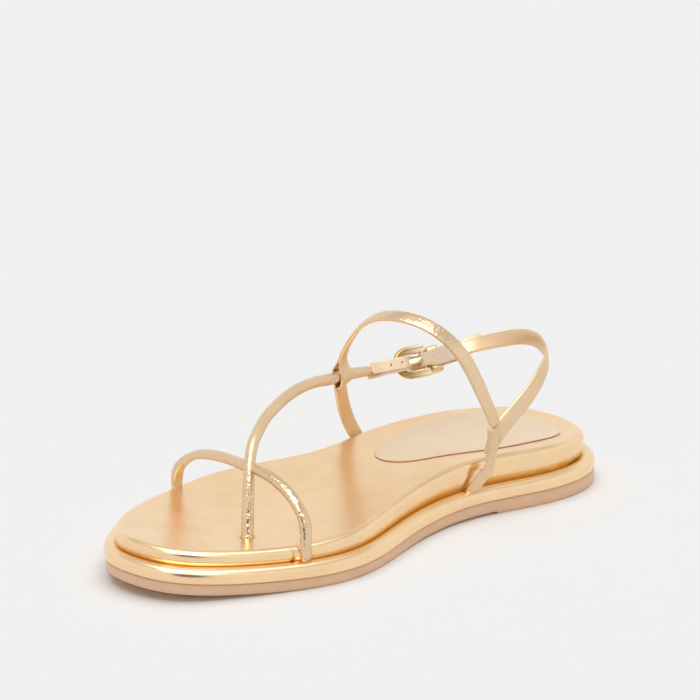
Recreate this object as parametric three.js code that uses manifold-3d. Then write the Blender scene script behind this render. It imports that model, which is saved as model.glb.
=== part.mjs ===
// A flat strapped sandal for the right foot, in millimetres.
// +Z is up, the toes point along -Y and the big toe's side is +X.
// The origin is on the floor, under the middle of the sole.

import * as THREE from "three";
import { mergeVertices } from "three/addons/utils/BufferGeometryUtils.js";
import Module from "manifold-3d";

const wasm = await Module();
wasm.setup();

// Sole
const soleLength = 260;
const ballWidth = 108.3;
const toeSpring = 5.2;
const springStart = 0.7; // share of the length from the heel
const outsoleHeel = 6.5;
const outsoleFore = 4.7;
const outsoleInset = 0.8;
const outsoleBevel = 0.4;
const waistRise = 1.2;
const breastAlong = 0.29;
const waistEnd = 0.56;
const rollHeight = 5.7;
const rollRound = 3.8; // how far the rounded edge of the roll runs in
const footbedHeight = 12.8;
const footbedInset = 4.9;
const footbedTuck = 1.7;
const footbedRound = 3.1;
const dishDepth = 2.8;
const dishCurve = 2.2; // the dish falls fastest beside the footbed's edge
const padLength = 92;
const padWidth = 51.5;
const padEnd = 18.5; // from the sole's heel end to the pad's
const padThickness = 0.7;
const clearance = 0.3; // between neighbouring pieces

// Straps
const toeLoopRise = 26.2; // top of the toe strap over the forefoot
const instepRise = 66.6; // top of the instep strap over the heel seat
const toeStrapWidth = 5.2;
const toeStrapThickness = 3.4;
const longStrapWidth = 5.2;
const longStrapThickness = 4.7;
const instepWidth = 7.1;
const slingWidth = 7.2;
const strapThickness = 2;
const tabWidth = 5.4;
const tabThickness = 2.4;
const tabFold = 0.8; // extra thickness where the sling folds over the side tab
const slotHalfLength = 8.5;
const slotOpening = longStrapWidth + 2 * clearance;
const postDepth = 4.2; // of the toe post in the footbed
const seamDepth = 3; // how far a strap's end runs in under the footbed
const seamRise = 1.5;
const toeStrapSeat = 5.4; // from the sole's edge to the toe strap, in the seam
const instepSeat = 5.6;
const sideTabSeat = 4.6;

// Buckle and elastic, their places measured along the sling from the slot
const billetWidth = 6.6;
const billetThickness = 1.6;
const billetStart = 17.5;
const billetEnd = 76;
const billetLap = 5; // how far the long strap runs into the billet
const billetBend = 6; // length over which the billet steps in or out
const billetSpare = 0.1; // extra room over the elastic
const billetTipRise = 3;
const holeRadius = 0.9;
const holePlaces = [29.1, 35.2];
const frameStart = 31.5;
const frameArm = 2.9;
const frameRound = 8; // length of the frame's rounded front
const frameThickness = 1.8;
const frameBevel = 0.5;
const frameTail = 1.5; // of the frame's arms behind the bar's centre
const barPlace = 47.5;
const barRadius = 0.9;
const prongRadius = 0.6;
const elasticWidth = 8.2;
const elasticThickness = 1;
const elasticEnd = 63;
const keeperPlace = 53;
const keeperLength = 5.4;
const keeperWall = 1;
const slingStart = 57.5;
const buckleLean = 36; // degrees, top edge of the sling away from the ankle at the buckle
const ankleLean = -22; // the same on the inner side of the ankle
const instepTilt = 0.45; // how far the instep strap's face looks towards the toes

// Outline of the sole at equal turns of a half circle, as shares of half the ball width
const outlineRows = [
  { medial: 0.028, lateral: 0.028 },
  { medial: 0.463, lateral: -0.406 },
  { medial: 0.711, lateral: -0.637 },
  { medial: 0.733, lateral: -0.757 },
  { medial: 0.63, lateral: -0.772 },
  { medial: 0.753, lateral: -0.779 },
  { medial: 0.993, lateral: -0.981 },
  { medial: 0.881, lateral: -0.938 },
  { medial: 0.67, lateral: -0.682 },
  { medial: 0.395, lateral: -0.338 },
  { medial: -0.011, lateral: -0.011 },
];

// Outline of the heel pad at equal turns of a half circle, as shares of half the pad width
const padRows = [
  { medial: 0.12, lateral: 0.12 },
  { medial: 0.8, lateral: -0.6 },
  { medial: 0.87, lateral: -1.0 },
  { medial: 0.74, lateral: -1.04 },
  { medial: 0.45, lateral: -0.87 },
  { medial: 0.155, lateral: -0.64 },
  { medial: -0.29, lateral: -0.29 },
];

// Footbed over the length: edge height and dish as shares of their named sizes
const footbedRows = [
  { along: 0, height: 0.77, dish: 0.35 },
  { along: 0.1, height: 0.9, dish: 0.85 },
  { along: 0.2, height: 0.99, dish: 1 },
  { along: 0.35, height: 1, dish: 0.75 },
  { along: 0.5, height: 0.79, dish: 0.5 },
  { along: 0.65, height: 0.63, dish: 0.6 },
  { along: 0.8, height: 0.5, dish: 0.5 },
  { along: 1, height: 0.59, dish: 0.12 },
];

// Rounded edge of the roll: how far in, as a share of rollRound, and how high
const rollRows = [
  { inset: 0.24, height: 0 },
  { inset: 0.06, height: 0.16 },
  { inset: 0, height: 0.4 },
  { inset: 0.05, height: 0.62 },
  { inset: 0.25, height: 0.83 },
  { inset: 0.58, height: 0.95 },
  { inset: 1, height: 1 },
];

// Straps: across as a share of half the ball width, along as a share of the length
// from the heel, up as a share of the strap's rise
const toeStrapRows = [
  { across: 0.844, along: 0.752, up: 0.0 },
  { across: 0.848, along: 0.752, up: 0.173 },
  { across: 0.845, along: 0.752, up: 0.324 },
  { across: 0.815, along: 0.752, up: 0.509 },
  { across: 0.742, along: 0.753, up: 0.698 },
  { across: 0.643, along: 0.754, up: 0.844 },
  { across: 0.532, along: 0.755, up: 0.94 },
  { across: 0.426, along: 0.756, up: 0.995 },
  { across: 0.31, along: 0.757, up: 1.015 },
  { across: 0.195, along: 0.756, up: 1.007 },
  { across: 0.074, along: 0.754, up: 0.99 },
  { across: -0.088, along: 0.752, up: 0.97 },
  { across: -0.311, along: 0.75, up: 0.918 },
  { across: -0.525, along: 0.748, up: 0.815 },
  { across: -0.669, along: 0.748, up: 0.684 },
  { across: -0.774, along: 0.748, up: 0.534 },
  { across: -0.845, along: 0.748, up: 0.36 },
  { across: -0.868, along: 0.748, up: 0.17 },
  { across: -0.868, along: 0.748, up: 0.04 },
];
const longStrapRows = [
  { across: 0.372, along: 0.795, up: -0.105 },
  { across: 0.341, along: 0.789, up: -0.022 },
  { across: 0.299, along: 0.781, up: 0.088 },
  { across: 0.253, along: 0.772, up: 0.204 },
  { across: 0.206, along: 0.763, up: 0.299 },
  { across: 0.157, along: 0.752, up: 0.367 },
  { across: 0.096, along: 0.737, up: 0.421 },
  { across: 0.032, along: 0.717, up: 0.46 },
  { across: -0.052, along: 0.69, up: 0.502 },
  { across: -0.133, along: 0.654, up: 0.543 },
  { across: -0.215, along: 0.615, up: 0.568 },
  { across: -0.309, along: 0.571, up: 0.573 },
  { across: -0.413, along: 0.521, up: 0.552 },
  { across: -0.512, along: 0.471, up: 0.514 },
];
const slingRows = [
  { across: -0.604, along: 0.434, up: 0.489 },
  { across: -0.612, along: 0.405, up: 0.48 },
  { across: -0.612, along: 0.365, up: 0.467 },
  { across: -0.598, along: 0.327, up: 0.46 },
  { across: -0.568, along: 0.29, up: 0.467 },
  { across: -0.54, along: 0.265, up: 0.474 },
  { across: -0.491, along: 0.236, up: 0.483 },
  { across: -0.427, along: 0.205, up: 0.51 },
  { across: -0.344, along: 0.177, up: 0.548 },
  { across: -0.251, along: 0.159, up: 0.582 },
  { across: -0.141, along: 0.144, up: 0.614 },
  { across: -0.011, along: 0.133, up: 0.649 },
  { across: 0.137, along: 0.13, up: 0.674 },
  { across: 0.285, along: 0.135, up: 0.677 },
  { across: 0.376, along: 0.142, up: 0.662 },
  { across: 0.447, along: 0.148, up: 0.64 },
  { across: 0.503, along: 0.157, up: 0.61 },
  { across: 0.543, along: 0.168, up: 0.583 },
  { across: 0.58, along: 0.182, up: 0.554 },
  { across: 0.61, along: 0.196, up: 0.522 },
  { across: 0.638, along: 0.217, up: 0.466 },
  { across: 0.652, along: 0.238, up: 0.41 },
  { across: 0.655, along: 0.262, up: 0.345 },
  { across: 0.652, along: 0.283, up: 0.285 },
  { across: 0.648, along: 0.298, up: 0.215 },
];
const instepRows = [
  { across: -0.709, along: 0.376, up: -0.017 },
  { across: -0.726, along: 0.39, up: 0.087 },
  { across: -0.729, along: 0.402, up: 0.21 },
  { across: -0.703, along: 0.413, up: 0.328 },
  { across: -0.654, along: 0.423, up: 0.412 },
  { across: -0.611, along: 0.43, up: 0.476 },
  { across: -0.587, along: 0.434, up: 0.555 },
  { across: -0.55, along: 0.433, up: 0.656 },
  { across: -0.5, along: 0.431, up: 0.738 },
  { across: -0.436, along: 0.429, up: 0.812 },
  { across: -0.347, along: 0.427, up: 0.891 },
  { across: -0.242, along: 0.423, up: 0.952 },
  { across: -0.141, along: 0.419, up: 0.988 },
  { across: -0.03, along: 0.412, up: 1.004 },
  { across: 0.075, along: 0.404, up: 1.006 },
  { across: 0.173, along: 0.393, up: 0.989 },
  { across: 0.262, along: 0.381, up: 0.956 },
  { across: 0.336, along: 0.369, up: 0.909 },
  { across: 0.4, along: 0.358, up: 0.85 },
  { across: 0.478, along: 0.346, up: 0.76 },
  { across: 0.55, along: 0.335, up: 0.634 },
  { across: 0.603, along: 0.324, up: 0.5 },
  { across: 0.633, along: 0.313, up: 0.39 },
  { across: 0.646, along: 0.305, up: 0.3 },
];
const sideTabRows = [
  { across: 0.599, along: 0.331, up: -0.052 },
  { across: 0.653, along: 0.315, up: 0.04 },
  { across: 0.656, along: 0.304, up: 0.183 },
  { across: 0.64, along: 0.3, up: 0.316 },
];

const turnCount = 32; // sections along each side of the sole
const smooth = (share) => THREE.MathUtils.smoothstep(share, 0, 1);
const mix = THREE.MathUtils.lerp;

// Smooth value of one column between the rows of a table that has an along column
function between(rows, column, along) {
  const last = rows.length - 1;
  let i = 0;
  while (i < last - 1 && along > rows[i + 1].along) i += 1;
  const slope = (k) => {
    const a = rows[Math.max(0, k - 1)];
    const b = rows[Math.min(last, k + 1)];
    return (b[column] - a[column]) / (b.along - a.along);
  };
  const span = rows[i + 1].along - rows[i].along;
  const t = THREE.MathUtils.clamp((along - rows[i].along) / span, 0, 1);
  const rise = t * t * (3 - 2 * t);
  const ease = slope(i) * (t * (1 - t) * (1 - t)) - slope(i + 1) * (t * t * (1 - t));
  return mix(rows[i][column], rows[i + 1][column], rise) + span * ease;
}

// Closed curve through the rows' values: a uniform cubic spline over the full turn
function closedSpline(rows) {
  const values = rows.map((row) => row.medial);
  for (let i = rows.length - 2; i > 0; i -= 1) values.push(rows[i].lateral);
  const count = values.length;
  const passes = 40;
  let control = values.slice();
  for (let pass = 0; pass < passes; pass += 1) {
    const old = control;
    control = values.map((v, i) => (6 * v - old[(i + count - 1) % count] - old[(i + 1) % count]) / 4);
  }
  return (turn) => {
    const place = (((turn / (2 * Math.PI)) * count) % count + count) % count;
    const i = Math.floor(place);
    const t = place - i;
    const [a, b, c, d] = [count - 1, 0, 1, 2].map((step) => control[(i + step) % count]);
    const start = (1 - t) ** 3 * a + (3 * t ** 3 - 6 * t ** 2 + 4) * b;
    return (start + (-3 * t ** 3 + 3 * t ** 2 + 3 * t + 1) * c + t ** 3 * d) / 6;
  };
}

// Outline with a point for each turn: heel end at 0, toe end at half a turn
function outline(rows, halfWidth, length, heelY) {
  const share = closedSpline(rows);
  const point = (turn) => {
    const y = heelY - (length / 2) * (1 - Math.cos(turn));
    return new THREE.Vector2(halfWidth * share(turn), y);
  };
  const inset = (turn, depth) => {
    const step = 0.01;
    const run = point(turn + step).sub(point(turn - step)).normalize();
    return point(turn).add(new THREE.Vector2(run.y, -run.x).multiplyScalar(depth));
  };
  const spine = (turn) => {
    const shrink = 0.72;
    const middle = (point(turn).x + point(-turn).x) / 2;
    const centreY = heelY - length / 2;
    return new THREE.Vector2(middle, centreY + shrink * (point(turn).y - centreY));
  };
  return { inset, spine };
}

const soleOutline = outline(outlineRows, ballWidth / 2, soleLength, soleLength / 2);
const alongOf = (y) => 0.5 - y / soleLength;
const acrossToX = (across) => (across * ballWidth) / 2;
const alongToY = (along) => soleLength * (0.5 - along);

// Heights of the layers over the floor, by place along the sole
const spring = (along) => toeSpring * Math.max(0, (along - springStart) / (1 - springStart)) ** 2;
const outsoleThickness = (along) => mix(outsoleHeel, outsoleFore, smooth((along - 0.3) / 0.35));
const outsoleTop = (along) => outsoleThickness(along) + spring(along);
const rollBottom = (along) => outsoleTop(along) + clearance;
const rollTop = (along) => rollBottom(along) + rollHeight;
const footbedBottom = (along) => rollTop(along) + clearance;
const footbedEdge = (along) => footbedBottom(along) + footbedHeight * between(footbedRows, "height", along);
const dish = (along) => dishDepth * between(footbedRows, "dish", along);
const footbedTop = (along, into) => footbedEdge(along) - dish(along) * (1 - (1 - into) ** dishCurve);
const seatTop = footbedTop(0.35, 1);
const foreTop = footbedTop(0.746, 0.5);

// Triangles over a list of rings, with flat ends where the rings don't close by themselves
function skin(rings, flatEnds) {
  const count = rings[0].length;
  const positions = rings.flat().flatMap((p) => [p.x, p.y, p.z]);
  const faces = [];
  for (let r = 0; r < rings.length - 1; r += 1) {
    for (let i = 0; i < count; i += 1) {
      const a = r * count + i;
      const b = r * count + ((i + 1) % count);
      faces.push([a, a + count, b + count], [a, b + count, b]);
    }
  }
  if (flatEnds) {
    const end = (rings.length - 1) * count;
    for (let i = 1; i < count - 1; i += 1) {
      faces.push([0, i, i + 1], [end, end + i + 1, end + i]);
    }
  }
  const geometry = new THREE.BufferGeometry();
  geometry.setAttribute("position", new THREE.Float32BufferAttribute(positions, 3));
  geometry.setIndex(faces.flat());
  return solid(geometry);
}

// Closed geometry to a solid, with its faces turned outward
function solid(geometry) {
  const bare = geometry.clone();
  bare.deleteAttribute("normal");
  bare.deleteAttribute("uv");
  const merged = mergeVertices(bare, 1e-4);
  const position = merged.getAttribute("position");
  const corner = (i) => new THREE.Vector3().fromBufferAttribute(position, i);
  const index = merged.getIndex().array;
  const kept = [];
  let volume = 0;
  for (let i = 0; i < index.length; i += 3) {
    const [a, b, c] = index.slice(i, i + 3);
    if (a !== b && b !== c && c !== a) {
      kept.push([a, b, c]);
      volume += corner(a).dot(corner(b).cross(corner(c)));
    }
  }
  const turned = volume < 0 ? kept.map(([a, b, c]) => [a, c, b]) : kept;
  return new wasm.Manifold(
    new wasm.Mesh({
      numProp: 3,
      vertProperties: new Float32Array(position.array),
      triVerts: new Uint32Array(turned.flat()),
    }),
  );
}

function geometryOf(body) {
  const mesh = body.getMesh();
  const geometry = new THREE.BufferGeometry();
  geometry.setAttribute("position", new THREE.BufferAttribute(mesh.vertProperties, 3));
  geometry.setIndex(new THREE.BufferAttribute(mesh.triVerts, 1));
  geometry.computeVertexNormals();
  return geometry;
}

const join = (bodies) => bodies.reduce((all, body) => all.add(body));
const cut = (body, tools) => tools.reduce((left, tool) => left.subtract(tool), body);

// One ring of a sole layer: inset from the outline, drawn towards the spine by into
function layerRing(shape, inset, into, height) {
  const turns = [];
  for (let i = 0; i < 2 * turnCount; i += 1) turns.push((Math.PI * i) / turnCount);
  return turns.map((turn) => {
    const flat = shape.inset(turn, inset).lerp(shape.spine(turn), into);
    return new THREE.Vector3(flat.x, flat.y, height(alongOf(flat.y), into));
  });
}

function outsole() {
  const floor = (along) => spring(along);
  const rings = [
    layerRing(soleOutline, outsoleInset + outsoleBevel, 1, floor),
    layerRing(soleOutline, outsoleInset + outsoleBevel, 0.5, floor),
    layerRing(soleOutline, outsoleInset + outsoleBevel, 0, floor),
    layerRing(soleOutline, outsoleInset, 0, (along) => floor(along) + outsoleBevel),
    layerRing(soleOutline, outsoleInset, 0, outsoleTop),
    layerRing(soleOutline, outsoleInset, 0.5, outsoleTop),
    layerRing(soleOutline, outsoleInset, 1, outsoleTop),
  ];
  const breast = alongToY(breastAlong);
  const run = alongToY(waistEnd) - breast;
  const waist = new THREE.Shape();
  waist.moveTo(breast, -1);
  waist.lineTo(breast, waistRise);
  waist.lineTo(breast + run * 0.45, waistRise * 0.85);
  waist.lineTo(breast + run, 0);
  waist.lineTo(breast + run, -1);
  const across = new THREE.ExtrudeGeometry(waist, { depth: ballWidth, bevelEnabled: false });
  across.applyMatrix4(
    new THREE.Matrix4().makeBasis(
      new THREE.Vector3(0, 1, 0),
      new THREE.Vector3(0, 0, 1),
      new THREE.Vector3(1, 0, 0),
    ),
  );
  across.translate(-ballWidth / 2, 0, 0);
  return cut(skin(rings), [solid(across)]);
}

function midsoleRoll() {
  const ledge = footbedInset + footbedTuck;
  const edge = rollRows.map((row) =>
    layerRing(soleOutline, row.inset * rollRound, 0, (along) => rollBottom(along) + row.height * rollHeight),
  );
  return skin([
    layerRing(soleOutline, ledge, 1, rollBottom),
    layerRing(soleOutline, ledge, 0.5, rollBottom),
    ...edge,
    layerRing(soleOutline, ledge, 0, rollTop),
    layerRing(soleOutline, ledge, 0.5, rollTop),
    layerRing(soleOutline, ledge, 1, rollTop),
  ]);
}

// Top of the footbed lifted by a height, from the edge to the spine
function topRings(lift) {
  const inset = footbedInset + footbedRound;
  return [0, 0.14, 0.32, 0.55, 0.8, 1].map((into) =>
    layerRing(soleOutline, inset, into, (along, share) => footbedTop(along, share) + lift),
  );
}

function footbedBlank() {
  const rise = (along) => footbedEdge(along) - footbedBottom(along);
  const side = [
    { inset: footbedTuck, up: 0 },
    { inset: 0.28 * footbedTuck, up: 0.18 },
    { inset: 0, up: 0.5 },
  ].map((row) =>
    layerRing(soleOutline, footbedInset + row.inset, 0, (along) => {
      return footbedBottom(along) + row.up * (rise(along) - footbedRound);
    }),
  );
  const corner = [0, 0.25, 0.5, 0.75].map((share) => {
    const angle = (share * Math.PI) / 2;
    const inset = footbedInset + footbedRound * (1 - Math.cos(angle));
    const drop = footbedRound * (1 - Math.sin(angle));
    return layerRing(soleOutline, inset, 0, (along) => footbedEdge(along) - drop);
  });
  const ledge = footbedInset + footbedTuck;
  return skin([
    layerRing(soleOutline, ledge, 1, footbedBottom),
    layerRing(soleOutline, ledge, 0.5, footbedBottom),
    ...side,
    ...corner,
    ...topRings(0),
  ]);
}

function heelPad() {
  const under = topRings(clearance);
  const over = topRings(clearance + padThickness);
  const slab = skin([...under.reverse(), ...over]);
  const heelY = soleLength / 2 - padEnd;
  const shape = outline(padRows, padWidth / 2, padLength, heelY);
  const ring = (z) => {
    const points = [];
    for (let i = 0; i < 2 * turnCount; i += 2) {
      const flat = shape.inset((Math.PI * i) / turnCount, 0);
      points.push(new THREE.Vector3(flat.x, flat.y, z));
    }
    return points;
  };
  return skin([ring(0), ring(2 * seatTop)], true).intersect(slab);
}

// Curve through the rows of a strap
function strapCurve(rows, base, rise, before = [], after = []) {
  const points = rows.map((row) => {
    return new THREE.Vector3(acrossToX(row.across), alongToY(row.along), base + row.up * rise);
  });
  return new THREE.CatmullRomCurve3([...before, ...points, ...after], false, "centripetal");
}

// Strap ends run down the footbed's side and into the seam under it
function seamPoints(along, side, thickness, edgeInset) {
  const turn = side * Math.acos(1 - 2 * along);
  const seam = soleOutline.inset(turn, edgeInset + seamDepth);
  const edge = soleOutline.inset(turn, edgeInset);
  const low = footbedBottom(along) + thickness / 2;
  return [
    new THREE.Vector3(seam.x, seam.y, low),
    new THREE.Vector3(edge.x, edge.y, low + seamRise),
  ];
}

const sectionFlat = [
  [-1, -0.4],
  [-0.8, -1],
  [0.8, -1],
  [1, -0.4],
  [1, 0.4],
  [0.8, 1],
  [-0.8, 1],
  [-1, 0.4],
];
const sectionDomed = [
  [-1, -1],
  [1, -1],
  [1, -0.35],
  [0.8, 0.4],
  [0.44, 0.86],
  [0, 1],
  [-0.44, 0.86],
  [-0.8, 0.4],
  [-1, -0.35],
];
const sectionRound = [];
for (let i = 0; i < 8; i += 1) {
  sectionRound.push([Math.cos((i * Math.PI) / 4), Math.sin((i * Math.PI) / 4)]);
}

// Frame of a strap at one place: its face looks out from an axis
function frameAt(curve, share, outward) {
  const centre = curve.getPointAt(share);
  const run = curve.getTangentAt(share);
  const out = outward(centre, share);
  out.addScaledVector(run, -out.dot(run)).normalize();
  return { centre, run, out, side: new THREE.Vector3().crossVectors(run, out).normalize() };
}

// Section carried along a list of frames
function sweep(frames, section, width, thickness, grow = 0) {
  const rings = frames.map((frame, i) => {
    const share = i / (frames.length - 1);
    const half = typeof width === "function" ? width(share) / 2 : width / 2;
    const deep = typeof thickness === "function" ? thickness(share) / 2 : thickness / 2;
    const past = i === 0 ? -grow : grow * (i === frames.length - 1);
    return section.map(([a, b]) =>
      frame.centre
        .clone()
        .addScaledVector(frame.run, past)
        .addScaledVector(frame.side, a * (half + grow))
        .addScaledVector(frame.out, b * (deep + grow)),
    );
  });
  return skin(rings, true);
}

function framesOn(curve, from, to, steps, outward) {
  const frames = [];
  for (let i = 0; i <= steps; i += 1) frames.push(frameAt(curve, mix(from, to, i / steps), outward));
  return frames;
}

// Outward from a level line along the foot, and outward from an upright line in the ankle
const fromFootLine = (height) => (p) => new THREE.Vector3(p.x, 0, p.z - height);
const ankleLine = new THREE.Vector2(acrossToX(0.04), alongToY(0.26));

const toeCurve = strapCurve(
  toeStrapRows,
  foreTop,
  toeLoopRise,
  seamPoints(toeStrapRows[0].along, 1, toeStrapThickness, toeStrapSeat),
  seamPoints(toeStrapRows[toeStrapRows.length - 1].along, -1, toeStrapThickness, instepSeat).reverse(),
);
const longPost = new THREE.Vector3(
  acrossToX(longStrapRows[0].across + 0.03),
  alongToY(longStrapRows[0].along + 0.004),
  footbedTop(longStrapRows[0].along, 0.5) - postDepth,
);
const slingCurve = strapCurve(slingRows, seatTop, instepRise);
const slingLength = slingCurve.getLength();
const longCurve = new THREE.CatmullRomCurve3(
  [
    longPost,
    ...strapCurve(longStrapRows, seatTop, instepRise).points,
    ...slingCurve.points.slice(0, 2),
    slingCurve.getPointAt((billetStart + billetLap) / slingLength),
  ],
  false,
  "centripetal",
);
const instepCurve = strapCurve(
  instepRows,
  seatTop,
  instepRise,
  seamPoints(instepRows[0].along - 0.012, -1, strapThickness, instepSeat),
);
const sideTabCurve = strapCurve(
  sideTabRows,
  seatTop,
  instepRise,
  seamPoints(sideTabRows[0].along, 1, tabThickness, sideTabSeat),
);

// Frame on the sling, at a distance from the slot, shifted outward and upward
function slingFrame(place, outShift = 0, upShift = 0) {
  const frame = frameAt(slingCurve, THREE.MathUtils.clamp(place / slingLength, 0, 1), (p) => {
    return new THREE.Vector3(p.x - ankleLine.x, p.y - ankleLine.y, 0);
  });
  const leaving = smooth(place / billetStart) * smooth((0.58 * slingLength - place) / (0.2 * slingLength));
  const arriving = smooth((place - 0.6 * slingLength) / (0.2 * slingLength));
  const lean = THREE.MathUtils.degToRad(buckleLean * leaving + ankleLean * arriving);
  frame.out.applyAxisAngle(frame.run, -lean);
  frame.side.applyAxisAngle(frame.run, -lean);
  frame.centre.addScaledVector(frame.out, outShift).addScaledVector(frame.side, upShift);
  return frame;
}

const toeOut = fromFootLine(foreTop + 0.25 * toeLoopRise);
const longOut = (p) => new THREE.Vector3(p.x * 0.5, -0.15 * soleLength, p.z - foreTop * 0.6);
const instepOut = (p) => {
  const up = p.z - seatTop * 1.4;
  return new THREE.Vector3(p.x, -instepTilt * Math.max(0, up), up);
};
const toeFrames = framesOn(toeCurve, 0, 1, 36, toeOut);
const longFrames = framesOn(longCurve, 0, 1, 44, longOut);
const instepFrames = framesOn(instepCurve, 0, 1, 56, instepOut);
const tabFrames = framesOn(sideTabCurve, 0, 1, 12, instepOut);

const toeStrap = (grow) => sweep(toeFrames, sectionDomed, toeStrapWidth, toeStrapThickness, grow);
const longStrap = (grow) => sweep(longFrames, sectionRound, longStrapWidth, longStrapThickness, grow);

// The slot: two plies of the instep strap part round the long strap
const slotPlace = (() => {
  const target = slingCurve.points[0];
  let best = 0;
  instepFrames.forEach((frame, i) => {
    if (frame.centre.distanceTo(target) < instepFrames[best].centre.distanceTo(target)) best = i;
  });
  return best / (instepFrames.length - 1);
})();
const instepLength = instepCurve.getLength();
const slotGap = (share) => {
  const s = ((share - slotPlace) * instepLength) / slotHalfLength;
  return Math.abs(s) < 1 ? slotOpening * Math.cos((s * Math.PI) / 2) ** 2 : 0;
};
const instepStrap = (grow) =>
  sweep(instepFrames, sectionFlat, instepWidth, (share) => strapThickness + slotGap(share), grow);
function slotEye() {
  const half = (slotHalfLength * 0.86) / instepLength;
  const frames = framesOn(instepCurve, slotPlace - half, slotPlace + half, 12, instepOut);
  const square = [
    [-1, -1],
    [1, -1],
    [1, 1],
    [-1, 1],
  ];
  return sweep(frames, square, 3 * instepWidth, (t) => slotGap(slotPlace + half * (2 * t - 1)));
}

const sideTab = (grow) => {
  const thick = (share) => tabThickness + tabFold * smooth((share - 0.6) / 0.4);
  return sweep(tabFrames, sectionFlat, tabWidth, thick, grow);
};

function backStrap() {
  const frames = [];
  const steps = 44;
  for (let i = 0; i <= steps; i += 1) {
    frames.push(slingFrame(mix(slingStart, slingLength, i / steps)));
  }
  const narrowing = (share) => 0.17 * smooth(1 - share * 5) + 0.28 * smooth(share * 10 - 9);
  const wide = (share) => slingWidth * (1 - narrowing(share));
  return sweep(frames, sectionFlat, wide, strapThickness);
}

// Path of the billet: inside the frame's front, through the frame, outside the elastic
const billetInner = -(frameThickness / 2 + 2 * clearance + billetThickness / 2);
const billetOuter = barRadius + 2 * clearance + elasticThickness + billetThickness / 2 + billetSpare;
const billetRest = strapThickness / 2 + billetThickness / 2 + 2 * clearance;
function billetShift(place) {
  const front = frameStart + frameArm;
  const enter = billetInner * smooth((place - billetStart - billetLap) / billetBend);
  const pass = (billetOuter - billetInner) * smooth((place - front) / (0.85 * (barPlace - front)));
  const settle = (billetRest - billetOuter) * smooth((place - elasticEnd) / billetBend);
  return enter + pass + settle;
}
function buckleBillet() {
  const keeperEnd = keeperPlace + keeperLength / 2 + keeperWall;
  const frames = [];
  const steps = 32;
  for (let i = 0; i <= steps; i += 1) {
    const place = mix(billetStart, billetEnd, i / steps);
    const rise = billetTipRise * smooth((place - keeperEnd) / (billetEnd - keeperEnd));
    frames.push(slingFrame(place, billetShift(place), rise));
  }
  const thick = (share) => billetThickness + longStrapThickness * 0.7 * smooth(1 - share * 8);
  const body = sweep(frames, sectionFlat, billetWidth, thick);
  const holes = holePlaces.map((place) => {
    const frame = slingFrame(place, billetShift(place));
    return rod(frame, frame.out, holeRadius, 4 * billetThickness);
  });
  return cut(body, [longStrap(clearance), prong(clearance), ...holes]);
}

// Round bar along a direction, centred on a frame
function rod(frame, direction, radius, length) {
  const bar = new THREE.CylinderGeometry(radius, radius, length, 12);
  bar.applyQuaternion(new THREE.Quaternion().setFromUnitVectors(new THREE.Vector3(0, 1, 0), direction));
  bar.translate(frame.centre.x, frame.centre.y, frame.centre.z);
  return solid(bar);
}

// Horseshoe frame, with its open end closed by the bar
function buckleFrame() {
  const inner = elasticWidth / 2 + 2 * clearance;
  const outer = inner + frameArm;
  const length = barPlace + frameTail - frameStart;
  const round = frameRound;
  const shape = new THREE.Shape();
  shape.moveTo(length, -outer);
  shape.lineTo(length, -inner);
  shape.lineTo(round, -inner);
  shape.absellipse(round, 0, round - frameArm, inner, -Math.PI / 2, Math.PI / 2, true);
  shape.lineTo(length, inner);
  shape.lineTo(length, outer);
  shape.lineTo(round, outer);
  shape.absellipse(round, 0, round, outer, Math.PI / 2, -Math.PI / 2, false);
  const plate = new THREE.ExtrudeGeometry(shape, {
    depth: frameThickness - 2 * frameBevel,
    curveSegments: 10,
    bevelThickness: frameBevel,
    bevelSize: frameBevel,
    bevelOffset: -frameBevel,
    bevelSegments: 1,
  });
  plate.translate(0, 0, frameBevel - frameThickness / 2);
  const start = slingFrame(frameStart);
  const bar = slingFrame(barPlace);
  const run = bar.centre.clone().sub(start.centre).normalize();
  const side = new THREE.Vector3().crossVectors(start.out, run).normalize();
  const out = new THREE.Vector3().crossVectors(run, side).normalize();
  plate.applyMatrix4(new THREE.Matrix4().makeBasis(run, side, out));
  plate.translate(start.centre.x, start.centre.y, start.centre.z);
  return join([solid(plate), rod(bar, bar.side, barRadius, 2 * inner + frameArm)]);
}

// Prong: round the bar, through the billet and onto the frame's front
function prong(grow = 0) {
  const reach = barRadius + clearance + prongRadius;
  const tipShift = frameThickness / 2 + clearance + prongRadius;
  const loop = [150, 110, 70, 30, -10, -50, -85].map((degrees) => {
    const angle = THREE.MathUtils.degToRad(degrees);
    return [barPlace + reach * Math.cos(angle), reach * Math.sin(angle)];
  });
  const shank = [
    [mix(barPlace, frameStart, 0.22), -reach * 0.8],
    [mix(frameStart, barPlace, 0.5), 0],
    [frameStart + 1.35 * frameArm, tipShift],
    [frameStart + 0.15 * frameArm, tipShift],
  ];
  const path = [...loop, ...shank].map(([place, shift]) => slingFrame(place, shift).centre);
  const curve = new THREE.CatmullRomCurve3(path, false, "centripetal");
  const side = slingFrame(barPlace).side;
  const frames = [];
  const steps = 30;
  for (let i = 0; i <= steps; i += 1) {
    const run = curve.getTangentAt(i / steps);
    const out = new THREE.Vector3().crossVectors(run, side).normalize();
    frames.push({ centre: curve.getPointAt(i / steps), run, out, side });
  }
  const section = sectionRound.filter((_, i) => i !== 3 && i !== 7);
  return sweep(frames, section, 2 * prongRadius, 2 * prongRadius, grow);
}

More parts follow.
